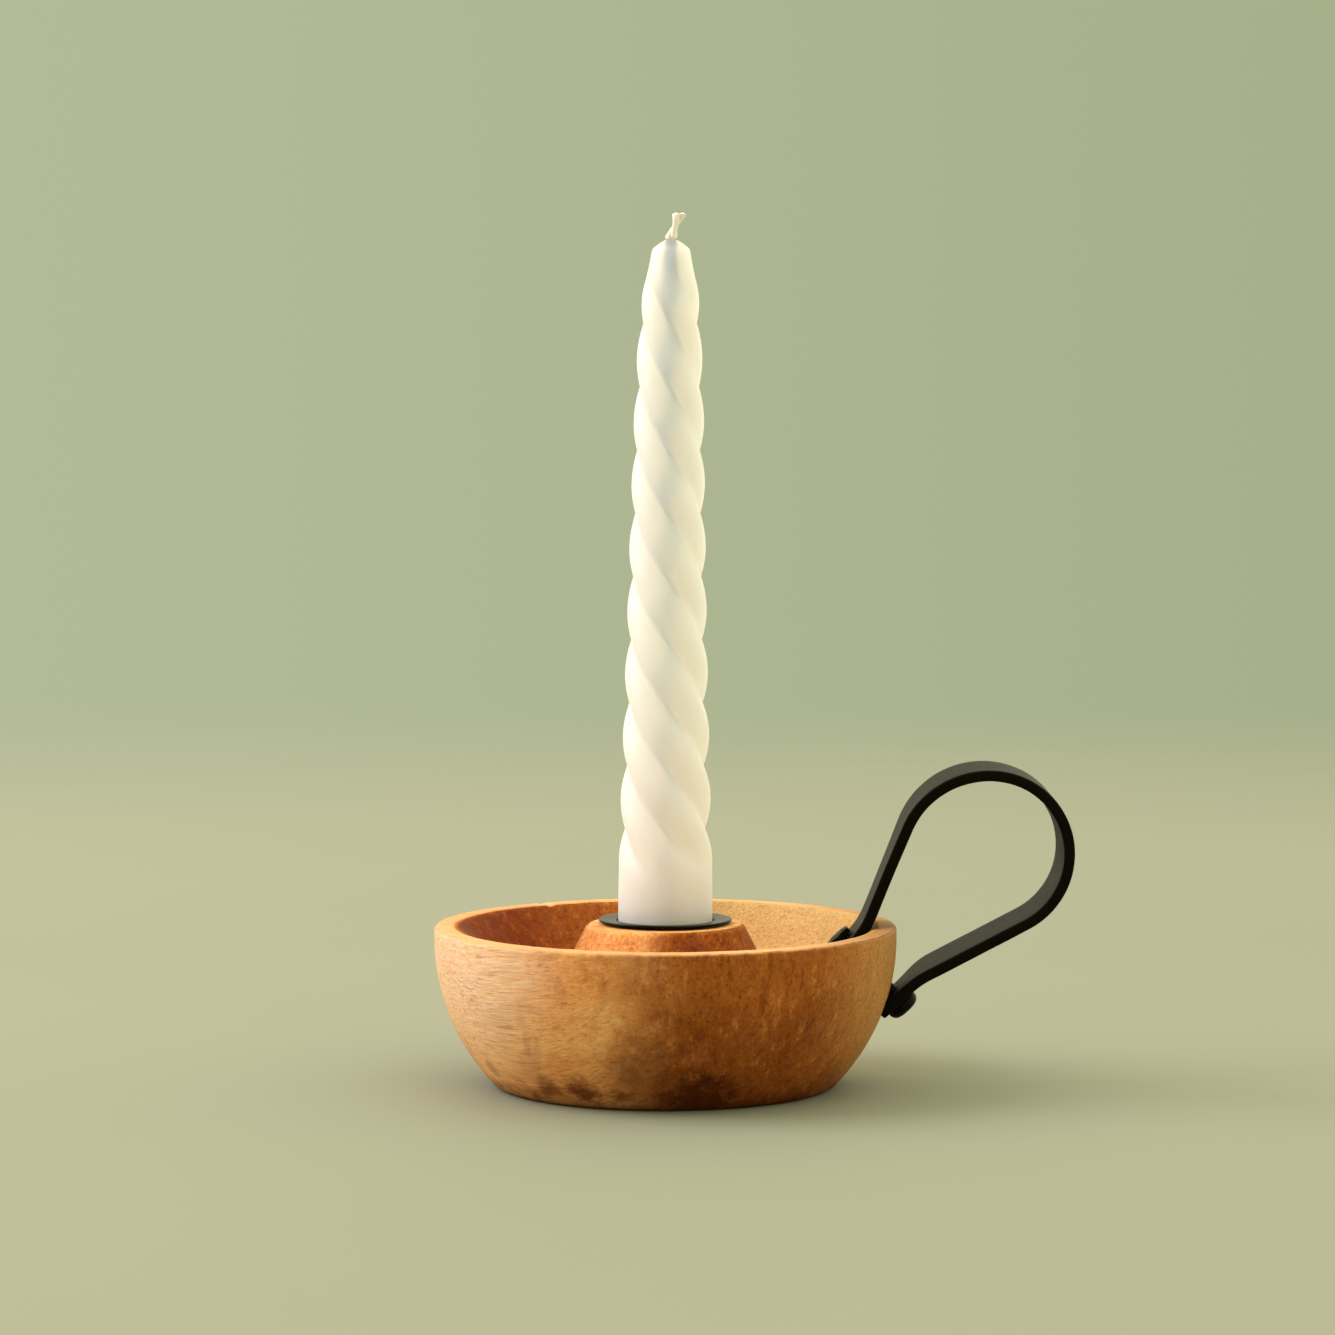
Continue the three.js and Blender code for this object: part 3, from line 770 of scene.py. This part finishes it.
def add_stains_and_shade(tree, at, colour):
    """Ragged blotches, partly stains and partly painted shade, and a dark line round the foot, painted
    shade where the bowl meets the floor.
    """
    ragged = noise_at(tree, at.raw, 0.32, 7, 0.74)
    # The dark line round the foot is painted shade where the bowl meets the floor.
    total = remap(tree, maths(tree, "MULTIPLY_ADD", ragged, -7.0, at.z), 2.0, -3.4, 0.0, 0.8)
    # The blotches are partly stains and partly painted shade low on the front.
    for centre, size, strength in STAINS_AND_SHADE:
        away = vector_maths(tree, "DISTANCE", at.raw, centre, "Value")
        reach = maths(tree, "MULTIPLY_ADD", ragged, -size * 1.7, away)
        spot = remap(tree, reach, size * 0.35, -size * 0.5, 0.0, strength)
        total = maths(tree, "MAXIMUM", total, spot)
    return mix_colour(tree, total, colour, STAIN_AND_SHADE_TINT, "MULTIPLY")


def add_rim_wear_and_shade(tree, at, colour):
    """The top of the rim is worn pale, and has painted shade beside the handle."""
    high = remap(tree, at.z, BOWL_HEIGHT - 1.8, BOWL_HEIGHT - 0.6)
    outside = remap(tree, at.radius, RIM_INNER_RADIUS - 0.7, RIM_INNER_RADIUS)
    rim = multiply(tree, high, outside, remap(tree, at.upwards, 0.35, 0.8))
    patchy = noise_at(tree, at.raw, 0.35, 4, 0.6)
    pale = multiply(tree, rim, remap(tree, patchy, 0.3, 0.62, 0.15, 0.7))
    colour = mix_colour(tree, pale, colour, WORN_RIM)
    # Painted shade on the top of the rim beside the handle.
    rim_shade = multiply(tree, rim, remap(tree, at.x, 26, 48, 0.0, 0.85))
    return mix_colour(tree, rim_shade, colour, RIM_SHADE_TINT, "MULTIPLY")


# ---------- Candle cup and its screw ----------

DRIP_EDGE_RADIUS = 0.27  # the drip edge is rolled thinner than the sheet
FLANGE_DISH = 0.28  # the flange is this much lower beside the candle
FLANGE_WARP = 0.12
MOUTH_RADIUS = 0.4
THREAD_DEPTH = 0.35
THREAD_STEPS = 6  # rings in each turn of a thread


def bent_flange(point, radius, angle):
    """The flange dips a little in four places."""
    if point.z <= FLANGE_BOTTOM + 0.05:
        return point
    warp = FLANGE_WARP * smoothstep(CUP_OUTER_RADIUS, FLANGE_RADIUS, radius)
    return point - Vector((0, 0, abs(warp * math.sin(2 * angle + 0.6))))


def make_cup():
    edge = (FLANGE_RADIUS - DRIP_EDGE_RADIUS, FLANGE_TOP - DRIP_EDGE_RADIUS)
    corner = (CUP_OUTER_RADIUS - CUP_CORNER_RADIUS, CUP_FLOOR_BOTTOM + CUP_CORNER_RADIUS)
    mouth = (CUP_INNER_RADIUS + MOUTH_RADIUS, FLANGE_TOP - FLANGE_DISH - MOUTH_RADIUS)
    outline = [
        Vector((SCREW_RADIUS + THROAT_CLEARANCE, CUP_FLOOR_BOTTOM)),
        *arc(corner, CUP_CORNER_RADIUS, -90, 0, 0.2),
        Vector((CUP_OUTER_RADIUS, FLANGE_BOTTOM)),
        Vector((CUP_OUTER_RADIUS + 1.5, FLANGE_BOTTOM)),
        *arc(edge, DRIP_EDGE_RADIUS, -75, 90, 0.08),
        *arc(mouth, MOUTH_RADIUS, 90, 180, 0.12),
        Vector((CUP_INNER_RADIUS, CUP_FLOOR_TOP)),
        Vector((SCREW_HEAD_RADIUS + COUNTERSINK_CLEARANCE, CUP_FLOOR_TOP)),
    ]
    vertices, faces = lathe(refine(outline, 1.2), 160, bent_flange)
    cup = mesh_object("flanged_cup", vertices, faces)
    paint = black_material("cup_black", (0.0012, 0.0014, 0.0008), roughness=0.32, specular=0.09)
    hand_in(cup, "root", "candle_cup", paint)


def cross_recess_tool(width, length, depth, top):
    """A tapered cross, sunk from the given height into a screw head."""
    half_width = width / 2
    rings = []
    for z, share in ((top - depth, 0.4), (top + 1, 1.3)):
        reach = max(length / 2 * share, half_width * 1.2)
        corners = ((half_width, half_width), (half_width, reach), (-half_width, reach))
        outline = []
        for quarter in range(4):
            spin = Matrix.Rotation(quarter * math.pi / 2, 3, "Z")
            outline.extend(spin @ Vector((x, y, z)) for x, y in corners)
        rings.append(outline)
    return loft(rings)


def threaded(crest, pitch, bottom, top, segments=24):
    """Rings that follow a helical thread between two heights, with a slightly flat crest."""
    core = crest - THREAD_DEPTH
    steps = max(4, round((top - bottom) / pitch * THREAD_STEPS))
    rings = []
    for z in evenly(bottom, top, steps):
        ring = []
        for i in range(segments):
            phase = (z / pitch - i / segments) % 1.0
            height = 1 - abs(2 * phase - 1)
            radius = core + THREAD_DEPTH * min(1.0, 1.3 * height)
            ring.append(polar(radius, math.tau * i / segments, z))
        rings.append(ring)
    return rings


def make_cup_screw():
    pitch = 1.1
    bottom = CUP_FLOOR_TOP - SCREW_LENGTH
    head_bottom = CUP_FLOOR_TOP - (SCREW_HEAD_RADIUS - SCREW_RADIUS)
    tip_top = bottom + SCREW_TIP_LENGTH
    rings = [circle(0.08, bottom)]
    for ring in threaded(SCREW_RADIUS, pitch, bottom + 0.3, tip_top):
        share = (ring[0].z - bottom) / SCREW_TIP_LENGTH
        rings.append([Vector((v.x * share, v.y * share, v.z)) for v in ring])
    rings.extend(threaded(SCREW_RADIUS, pitch, tip_top + 0.15, head_bottom - 0.4))
    rings.append(circle(SCREW_RADIUS, head_bottom))
    rings.append(circle(SCREW_HEAD_RADIUS - 0.05, CUP_FLOOR_TOP - 0.15))
    rings.append(circle(SCREW_HEAD_RADIUS - 0.1, CUP_FLOOR_TOP))
    screw = mesh_object("cross_head_screw", *loft(rings))
    recess = cross_recess_tool(width=0.6, length=2.8, depth=0.9, top=CUP_FLOOR_TOP)
    cut(screw, mesh_object("tool", *recess))
    hand_in(screw, "root", "cup_screw", zinc_material())


# ---------- Strap handle ----------

TIP_CORNER_RADIUS = 1.6
TIP_EDGE_RADIUS = 0.45
STRAP_EDGE_RADIUS = 0.4
STRAP_DENTS = 0.1


def bolt_point(along):
    """The x and z of a point at a height up the bolt."""
    return INNER_FOOT_CENTRE + unit(FOOT_SLOPE + math.pi / 2) * along


def bend_at(corner, start, end):
    """A rounded bend between two directions: (centre, first angle, last angle)."""
    side = math.copysign(1, end - start)
    setback = BEND_RADIUS * math.tan(abs(end - start) / 2)
    first = corner - unit(start) * setback
    centre = first + unit(start + side * math.pi / 2) * BEND_RADIUS
    return centre, start - side * math.pi / 2, end - side * math.pi / 2


def strap_middle_line(step):
    """Points along the strap, seen from the front: foot, inner leg, loop, lower leg, foot."""
    foot = unit(FOOT_SLOPE)
    outer_foot = bolt_point(-FOOT_SPACING)
    crown_start = INNER_LEG_SLOPE + math.pi / 2
    loop_end = LOWER_LEG_SLOPE - math.pi / 2
    crown_centre = LOOP_CENTRE + unit(CROWN_END) * (LOOP_RADIUS - CROWN_RADIUS)
    inner_touch = crown_centre + unit(crown_start) * CROWN_RADIUS
    lower_touch = LOOP_CENTRE + unit(loop_end) * LOOP_RADIUS
    inner_corner = crossing(INNER_FOOT_CENTRE, FOOT_SLOPE, inner_touch, INNER_LEG_SLOPE)
    lower_corner = crossing(outer_foot, FOOT_SLOPE, lower_touch, LOWER_LEG_SLOPE)
    arcs = [
        (*bend_at(inner_corner, FOOT_SLOPE, INNER_LEG_SLOPE), BEND_RADIUS),
        (crown_centre, crown_start, CROWN_END, CROWN_RADIUS),
        (LOOP_CENTRE, CROWN_END, loop_end, LOOP_RADIUS),
        (*bend_at(lower_corner, LOWER_LEG_SLOPE + math.pi, FOOT_SLOPE + math.pi), BEND_RADIUS),
    ]
    points = [INNER_FOOT_CENTRE - foot * FOOT_OVERHANG]
    for centre, first, last, radius in arcs:
        points.extend(arc(centre, radius, math.degrees(first), math.degrees(last), step))
    points.append(outer_foot - foot * FOOT_OVERHANG)
    line = refine(points, step)
    # Extra stations close to each tip let its corners and edge be rounded.
    return refine(line[:4], step / 5) + line[4:-4] + refine(line[-4:], step / 5)


def lean_share(share):
    """How much of the loop's turn and lean the strap has, by its share of the length."""
    taken_up = smoothstep(0.14, 0.4, share)
    kept = smoothstep(0.05, 0.115, 1 - share)
    return taken_up * kept


def strap_section():
    """A rectangle with rounded corners across the strap: (across, through) pairs."""
    x = STRAP_WIDTH / 2 - STRAP_EDGE_RADIUS
    y = STRAP_THICKNESS / 2 - STRAP_EDGE_RADIUS
    section = []
    for centre, start in (((x, y), 0), ((-x, y), 90), ((-x, -y), 180), ((x, -y), 270)):
        section.extend(arc(centre, STRAP_EDGE_RADIUS, start, start + 90, 0.2))
    return refine([*section, section[0]], 1.6)[:-1]


def round_inset(distance, radius):
    """How far a rounded corner stands back, at a distance from the tip."""
    if distance >= radius:
        return 0.0
    return radius - math.sqrt(radius**2 - (radius - distance) ** 2)


def strap_ring(section, middle, across, through, from_tip):
    """The section at one station, narrower and thinner at the tips, and a little dented."""
    narrow = 1 - 2 * round_inset(from_tip, TIP_CORNER_RADIUS) / STRAP_WIDTH
    flat = 1 - 1.6 * round_inset(from_tip, TIP_EDGE_RADIUS) / STRAP_THICKNESS
    ring = []
    for sideways, upwards in section:
        spot = middle + across * sideways * narrow + through * upwards * flat
        inwards = STRAP_DENTS * (dents(spot, 5.5) + dents(spot, 17))
        side_share = sideways / (STRAP_WIDTH / 2)
        face_share = upwards / (STRAP_THICKNESS / 2)
        spot -= across * inwards * side_share * abs(side_share)
        spot -= through * inwards * face_share * 0.5
        ring.append(spot)
    return ring


def make_strap():
    line = strap_middle_line(0.6)
    lengths = [0.0]
    for here, there in zip(line, line[1:]):
        lengths.append(lengths[-1] + (there - here).length)
    total = lengths[-1]
    fixing = bolt_point(-FOOT_SPACING / 2)
    section = strap_section()
    rings = []
    for index, (centre, run) in enumerate(zip(line, lengths)):
        before = line[max(0, index - 1)]
        after = line[min(len(line) - 1, index + 1)]
        tangent = (after - before).normalized()
        blend = lean_share(run / total)
        y = blend * (LOOP_YAW * (centre.x - fixing.x) - LOOP_TILT * (centre.y - fixing.y))
        middle = Vector((centre.x, y, centre.y))
        across = Vector((-LOOP_YAW * blend, 1, LOOP_TILT * blend)).normalized()
        through = Vector((-tangent.y, 0, tangent.x))
        rings.append(strap_ring(section, middle, across, through, min(run, total - run)))
    strap = mesh_object("bent_strap", *loft(rings), 40)
    for foot in (0, -FOOT_SPACING):
        cut(strap, bolt_hole_tool(foot - 4, foot + 4), 40)
    paint = black_material("strap_black", (0.0018, 0.0014, 0.0005), roughness=0.5, specular=0.075)
    hand_in(strap, "root", "handle_strap", paint)


# ---------- Bolt and nut ----------

BOLT_SIDES = 48
BOLT_CROWN_RADIUS = 1.9
NUT_SIDES = 96
NUT_CHAMFER = 0.35


def make_bolt():
    under_head = -FOOT_SPACING - STRAP_THICKNESS / 2 - GAP
    head_top = under_head - BOLT_HEAD_HEIGHT
    shank_end = STRAP_THICKNESS / 2 + GAP + NUT_HEIGHT
    thread_bottom = -12
    flat = BOLT_HEAD_RADIUS - BOLT_CROWN_RADIUS
    outline = [
        (0.05, head_top),
        (flat, head_top),
        *arc((flat, head_top + BOLT_CROWN_RADIUS), BOLT_CROWN_RADIUS, -85, 0, 0.2),
        (BOLT_HEAD_RADIUS, under_head - 0.25),
        (BOLT_HEAD_RADIUS - 0.2, under_head),
        (BOLT_RADIUS, under_head),
        (BOLT_RADIUS, thread_bottom - 0.3),
    ]
    rings = [circle(radius, z, BOLT_SIDES) for radius, z in outline]
    rings.extend(threaded(BOLT_RADIUS, 0.7, thread_bottom, shank_end - 0.3, BOLT_SIDES))
    rings.append(circle(BOLT_RADIUS - 0.4, shank_end, BOLT_SIDES))
    bolt = mesh_object("pan_head_bolt", *loft(rings), 40)
    recess, recess_faces = cross_recess_tool(width=0.9, length=4.2, depth=1.6, top=0)
    recess = [Vector((v.x, v.y, head_top - v.z)) for v in recess]
    cut(bolt, mesh_object("tool", recess, recess_faces), 40)
    to_metres = Matrix.Scale(MM, 4)
    bolt.data.transform(to_metres @ BOLT_FRAME @ to_metres.inverted())
    paint = black_material("fixing_black", (0.0024, 0.0016, 0.0008), roughness=0.42, specular=0.1)
    hand_in(bolt, "root", "handle_bolt", paint)


def hexagon(radius, z):
    """A level ring of the nut: a circle of the radius, cut off by the six flats."""
    ring = []
    for i in range(NUT_SIDES):
        angle = math.tau * i / NUT_SIDES
        within = math.remainder(angle, math.pi / 3)
        ring.append(polar(min(radius, NUT_ACROSS_FLATS / 2 / math.cos(within)), angle, z))
    return ring


def make_nut():
    bottom = STRAP_THICKNESS / 2 + GAP
    top = bottom + NUT_HEIGHT
    hole = BOLT_RADIUS + 0.04
    corner = NUT_ACROSS_FLATS / math.sqrt(3)
    face = NUT_ACROSS_FLATS / 2 - 0.1  # radius of the flat face inside the chamfer
    rings = [circle(hole, bottom, NUT_SIDES), circle(face - 0.05, bottom, NUT_SIDES)]
    for share in evenly(0, 1, 6):
        rings.append(hexagon(face + (corner - face) * share, bottom + NUT_CHAMFER * share))
    for share in evenly(1, 0, 6):
        rings.append(hexagon(face + (corner - face) * share, top - NUT_CHAMFER * share))
    rings.append(circle(hole + 0.35, top, NUT_SIDES))
    rings.append(circle(hole, top - 0.3, NUT_SIDES))
    vertices, faces = loft(rings, closed=True)
    nut = mesh_object("hex_nut", [BOLT_FRAME @ v for v in vertices], faces, 30)
    hand_in(nut, "root", "handle_nut", bpy.data.materials["fixing_black"])


# ---------- Candle and wick ----------

# Heights up the candle, each with the radius there.
CANDLE_GAUGE = (
    (CANDLE_BOTTOM, CANDLE_RADIUS),
    (52, CANDLE_RADIUS - 0.15),
    (82, 10.05),
    (125, 8.9),
    (154, 8.2),
    (169, 7.6),
    (182, 6.75),
    (189, 5.4),
    (CANDLE_SHOULDER, 4.45),
)
CANDLE_COLUMNS = 128
CANDLE_ROW_HEIGHT = 0.45
BASE_EDGE_RADIUS = 0.7
CREASE_SOFTNESS = math.radians(6)
WAX_WAVES = 0.14
WAX_DENTS = 0.02
BORE_RADIUS = WICK_RADIUS + GAP
BORE_MOUTH_RADIUS = BORE_RADIUS - 0.2  # the wax closes in on the wick at the tip

STRAND_COUNT = 2
STRAND_RADIUS = 0.55
STRAND_ORBIT = 0.37  # from the wick's middle to a strand's
STRAND_PITCH = 12.0
STRAND_SIDES = 12
WICK_ROWS = 560


def gauge_slope(index):
    z_low, radius_low = CANDLE_GAUGE[max(0, index - 1)]
    z_high, radius_high = CANDLE_GAUGE[min(len(CANDLE_GAUGE) - 1, index + 1)]
    return (radius_high - radius_low) / (z_high - z_low)


def candle_taper(z):
    """Radius of the candle at a height, on a smooth curve through the gauged points."""
    index = max(i for i in range(len(CANDLE_GAUGE) - 1) if i == 0 or z >= CANDLE_GAUGE[i][0])
    z_low, radius_low = CANDLE_GAUGE[index]
    z_high, radius_high = CANDLE_GAUGE[index + 1]
    span = z_high - z_low
    t = (z - z_low) / span
    lower_bend = gauge_slope(index) * t * (1 - t) ** 2
    upper_bend = gauge_slope(index + 1) * t**2 * (1 - t)
    return radius_low + (radius_high - radius_low) * t**2 * (3 - 2 * t) + span * (lower_bend - upper_bend)


def lean_at(z):
    """How far the candle leans towards the handle at a height."""
    share = max(0.0, (z - FLANGE_TOP) / (CANDLE_TOP - FLANGE_TOP))
    return CANDLE_LEAN * share**LEAN_POWER


def crease_depth(z):
    """The depth of the creases at a height, from 0 to 1."""
    fade_in = smoothstep(CANDLE_PLAIN_HEIGHT, CANDLE_TWIST_HEIGHT, z)
    fade_out = smoothstep(CANDLE_SHOULDER - TIP_FADE_LENGTH, CANDLE_SHOULDER, z)
    return fade_in * (1 - TIP_FADE * fade_out)


def candle_ring(radius, z, depth):
    """One level cut: lobes made of arcs, with softened creases between them."""
    offset = LOBE_OFFSET * radius * depth
    lobe_radius = radius - offset
    half_lobe = math.pi / LOBE_COUNT
    turn = -math.tau * (z - TWIST_START) / TWIST_PITCH
    ring = []
    for i in range(CANDLE_COLUMNS):
        angle = math.tau * i / CANDLE_COLUMNS
        to_crease = half_lobe - abs(math.remainder(angle, 2 * half_lobe))
        within = half_lobe - math.hypot(to_crease, CREASE_SOFTNESS)
        reach = offset * math.cos(within) + math.sqrt(lobe_radius**2 - (offset * math.sin(within)) ** 2)
        spot = Vector((lean_at(z), 0, 0)) + polar(reach, angle + turn, z)
        if radius > 3:
            spot -= polar(WAX_WAVES * dents(spot, 9) + WAX_DENTS * dents(spot, 2.5), angle + turn, 0)
        ring.append(spot)
    return ring


def make_candle():
    rings = []
    for angle in evenly(0, math.pi / 2, 6)[:-1]:
        radius = CANDLE_RADIUS - BASE_EDGE_RADIUS * (1 - math.sin(angle))
        rings.append(candle_ring(radius, CANDLE_BOTTOM + BASE_EDGE_RADIUS * (1 - math.cos(angle)), 0))
    rows = round((CANDLE_SHOULDER - CANDLE_BOTTOM) / CANDLE_ROW_HEIGHT)
    for z in evenly(CANDLE_BOTTOM + BASE_EDGE_RADIUS, CANDLE_SHOULDER, rows):
        rings.append(candle_ring(candle_taper(z), z, crease_depth(z)))
    # The tip is a low cone, a little domed, that meets the wick.
    tip_radius = candle_taper(CANDLE_SHOULDER)
    for share in evenly(0, 1, 12)[1:-1]:
        radius = tip_radius + (BORE_MOUTH_RADIUS - tip_radius) * share
        z = CANDLE_SHOULDER + (CANDLE_TOP - CANDLE_SHOULDER) * share**0.75
        rings.append(candle_ring(radius, z, (1 - TIP_FADE) * (1 - share)))
    for index, z in enumerate(evenly(CANDLE_TOP, CANDLE_BOTTOM, 60)):
        rings.append(candle_ring(BORE_MOUTH_RADIUS if index < 2 else BORE_RADIUS, z, 0))
    candle = mesh_object("twisted_taper", *loft(rings, closed=True), 60)
    hand_in(candle, "candle", "candle", wax_material())


def wick_route(z):
    """The wick's middle at a height: up the candle, then in a slight S over towards the handle."""
    free = max(0.0, (z - CANDLE_TOP) / WICK_LENGTH)
    bend = WICK_BEND * smoothstep(0, 1, free)
    return Vector((lean_at(min(z, CANDLE_TOP)) + bend, 0, z))


def strand_ring(strand, z):
    """One level cut of a strand, which swells as it leaves the wax and flares at its blunt end."""
    free = (z - CANDLE_TOP) / WICK_LENGTH
    swell = smoothstep(0, 0.06, free)
    foot = swell * (1 - smoothstep(0.06, 0.4, free))
    flare = smoothstep(0.5, 0.88, free)
    blunt = math.sqrt(max(0.0, 1 - smoothstep(0.9, 0.972, free) ** 2))
    twist = math.tau * ((CANDLE_TOP - z) / STRAND_PITCH + strand / STRAND_COUNT)
    centre = wick_route(z) + polar(STRAND_ORBIT + 0.1 * swell + 0.2 * foot + 0.26 * flare, twist, 0)
    size = STRAND_RADIUS * (1 + 0.25 * swell + 0.14 * foot + 0.28 * flare) * max(0.12, blunt)
    ring = []
    for i in range(STRAND_SIDES):
        fray = 1 + 0.1 * noise.noise(Vector((z * 1.1, i * 1.7, strand * 5.0)))
        ring.append(centre + polar(size * fray, math.tau * i / STRAND_SIDES, 0))
    return ring


def make_wick():
    """Two soft strands, twisted together."""
    top = CANDLE_TOP + WICK_LENGTH * 0.97
    vertices = []
    faces = []
    for strand in range(STRAND_COUNT):
        rings = [strand_ring(strand, z) for z in evenly(CANDLE_BOTTOM, top, WICK_ROWS)]
        strand_vertices, strand_faces = loft(rings)
        start = len(vertices)
        vertices.extend(strand_vertices)
        faces.extend(tuple(start + k for k in face) for face in strand_faces)
    wick = mesh_object("twisted_wick", vertices, faces, 60)
    hand_in(wick, "candle", "wick", cotton_material())


# ---------- Materials for metal, wax and cotton ----------

PAINT_SHEEN = (1.0, 0.91, 0.58)
ZINC_COLOURS = ((0.5, 0.5, 0.47), (0.68, 0.69, 0.7))
WAX_COLOURS = ((0.985, 0.88, 0.86), (0.975, 0.852, 0.81))
WAX_SCATTER = (1.0, 0.84, 0.66)  # how far red, green and blue light go, as shares of the scale
COTTON_COLOURS = ((0.98, 0.94, 0.87), (0.93, 0.88, 0.79))


def black_material(name, base, roughness, specular):
    """Black paint on forged steel: slight mottling, fine texture and a satin sheen."""
    material, tree, shader = new_material(name)
    point = millimetres(tree)
    mottle = remap(tree, noise_at(tree, point, 0.22, 4, 0.6), 0.35, 0.65)
    dark = [value * share for value, share in zip(base, (0.75, 0.72, 0.7))]
    light = [value * share for value, share in zip(base, (1.25, 1.25, 1.22))]
    fine = noise_at(tree, point, 1.6, 4, 0.65)
    inputs = {
        "Base Color": mix_colour(tree, mottle, dark, light),
        "Roughness": remap(tree, fine, 0.3, 0.7, roughness - 0.05, roughness + 0.08, "LINEAR"),
        "Specular IOR Level": specular,
        "Specular Tint": PAINT_SHEEN,
        "Normal": bump(tree, fine, distance=0.00008, strength=0.35),
    }
    connect(tree, shader, inputs)
    return material


def zinc_material():
    material, tree, shader = new_material("zinc_plate")
    cloud = noise_at(tree, millimetres(tree), 0.9, 4, 0.6)
    colour = mix_colour(tree, cloud, *ZINC_COLOURS)
    rough = remap(tree, cloud, 0.3, 0.7, 0.28, 0.45, "LINEAR")
    connect(tree, shader, {"Base Color": colour, "Roughness": rough, "Metallic": 1.0})
    return material


def wax_material():
    material, tree, shader = new_material("ivory_wax")
    point = millimetres(tree)
    cloud = remap(tree, noise_at(tree, point, (0.09, 0.09, 0.03), 4, 0.55), 0.3, 0.7)
    inputs = {
        "Base Color": mix_colour(tree, cloud, *WAX_COLOURS),
        "Roughness": remap(tree, noise_at(tree, point, 0.5), 0.3, 0.7, 0.4, 0.52, "LINEAR"),
        "Subsurface Weight": 1.0,
        "Subsurface Radius": WAX_SCATTER,
        "Subsurface Scale": 0.05,
        "Specular IOR Level": 0.4,
        "Normal": bump(tree, noise_at(tree, point, 0.8, 4), distance=0.0001, strength=0.3),
    }
    connect(tree, shader, inputs)
    return material


def cotton_material():
    material, tree, shader = new_material("wick_cotton")
    fibres = noise_at(tree, millimetres(tree), (6, 6, 1.2), 3, 0.6)
    colour = mix_colour(tree, remap(tree, fibres, 0.3, 0.7), *COTTON_COLOURS)
    relief = bump(tree, fibres, distance=0.0001, strength=0.5)
    connect(tree, shader, {"Base Color": colour, "Roughness": 0.9, "Normal": relief})
    return material


# ---------- Assembly ----------

make_camera()
make_key_light()
make_room()
make_floor()
make_bowl()
make_cup()
make_cup_screw()
make_strap()
make_bolt()
make_nut()
make_candle()
make_wick()

bpy.context.scene.view_settings.view_transform = "Standard"
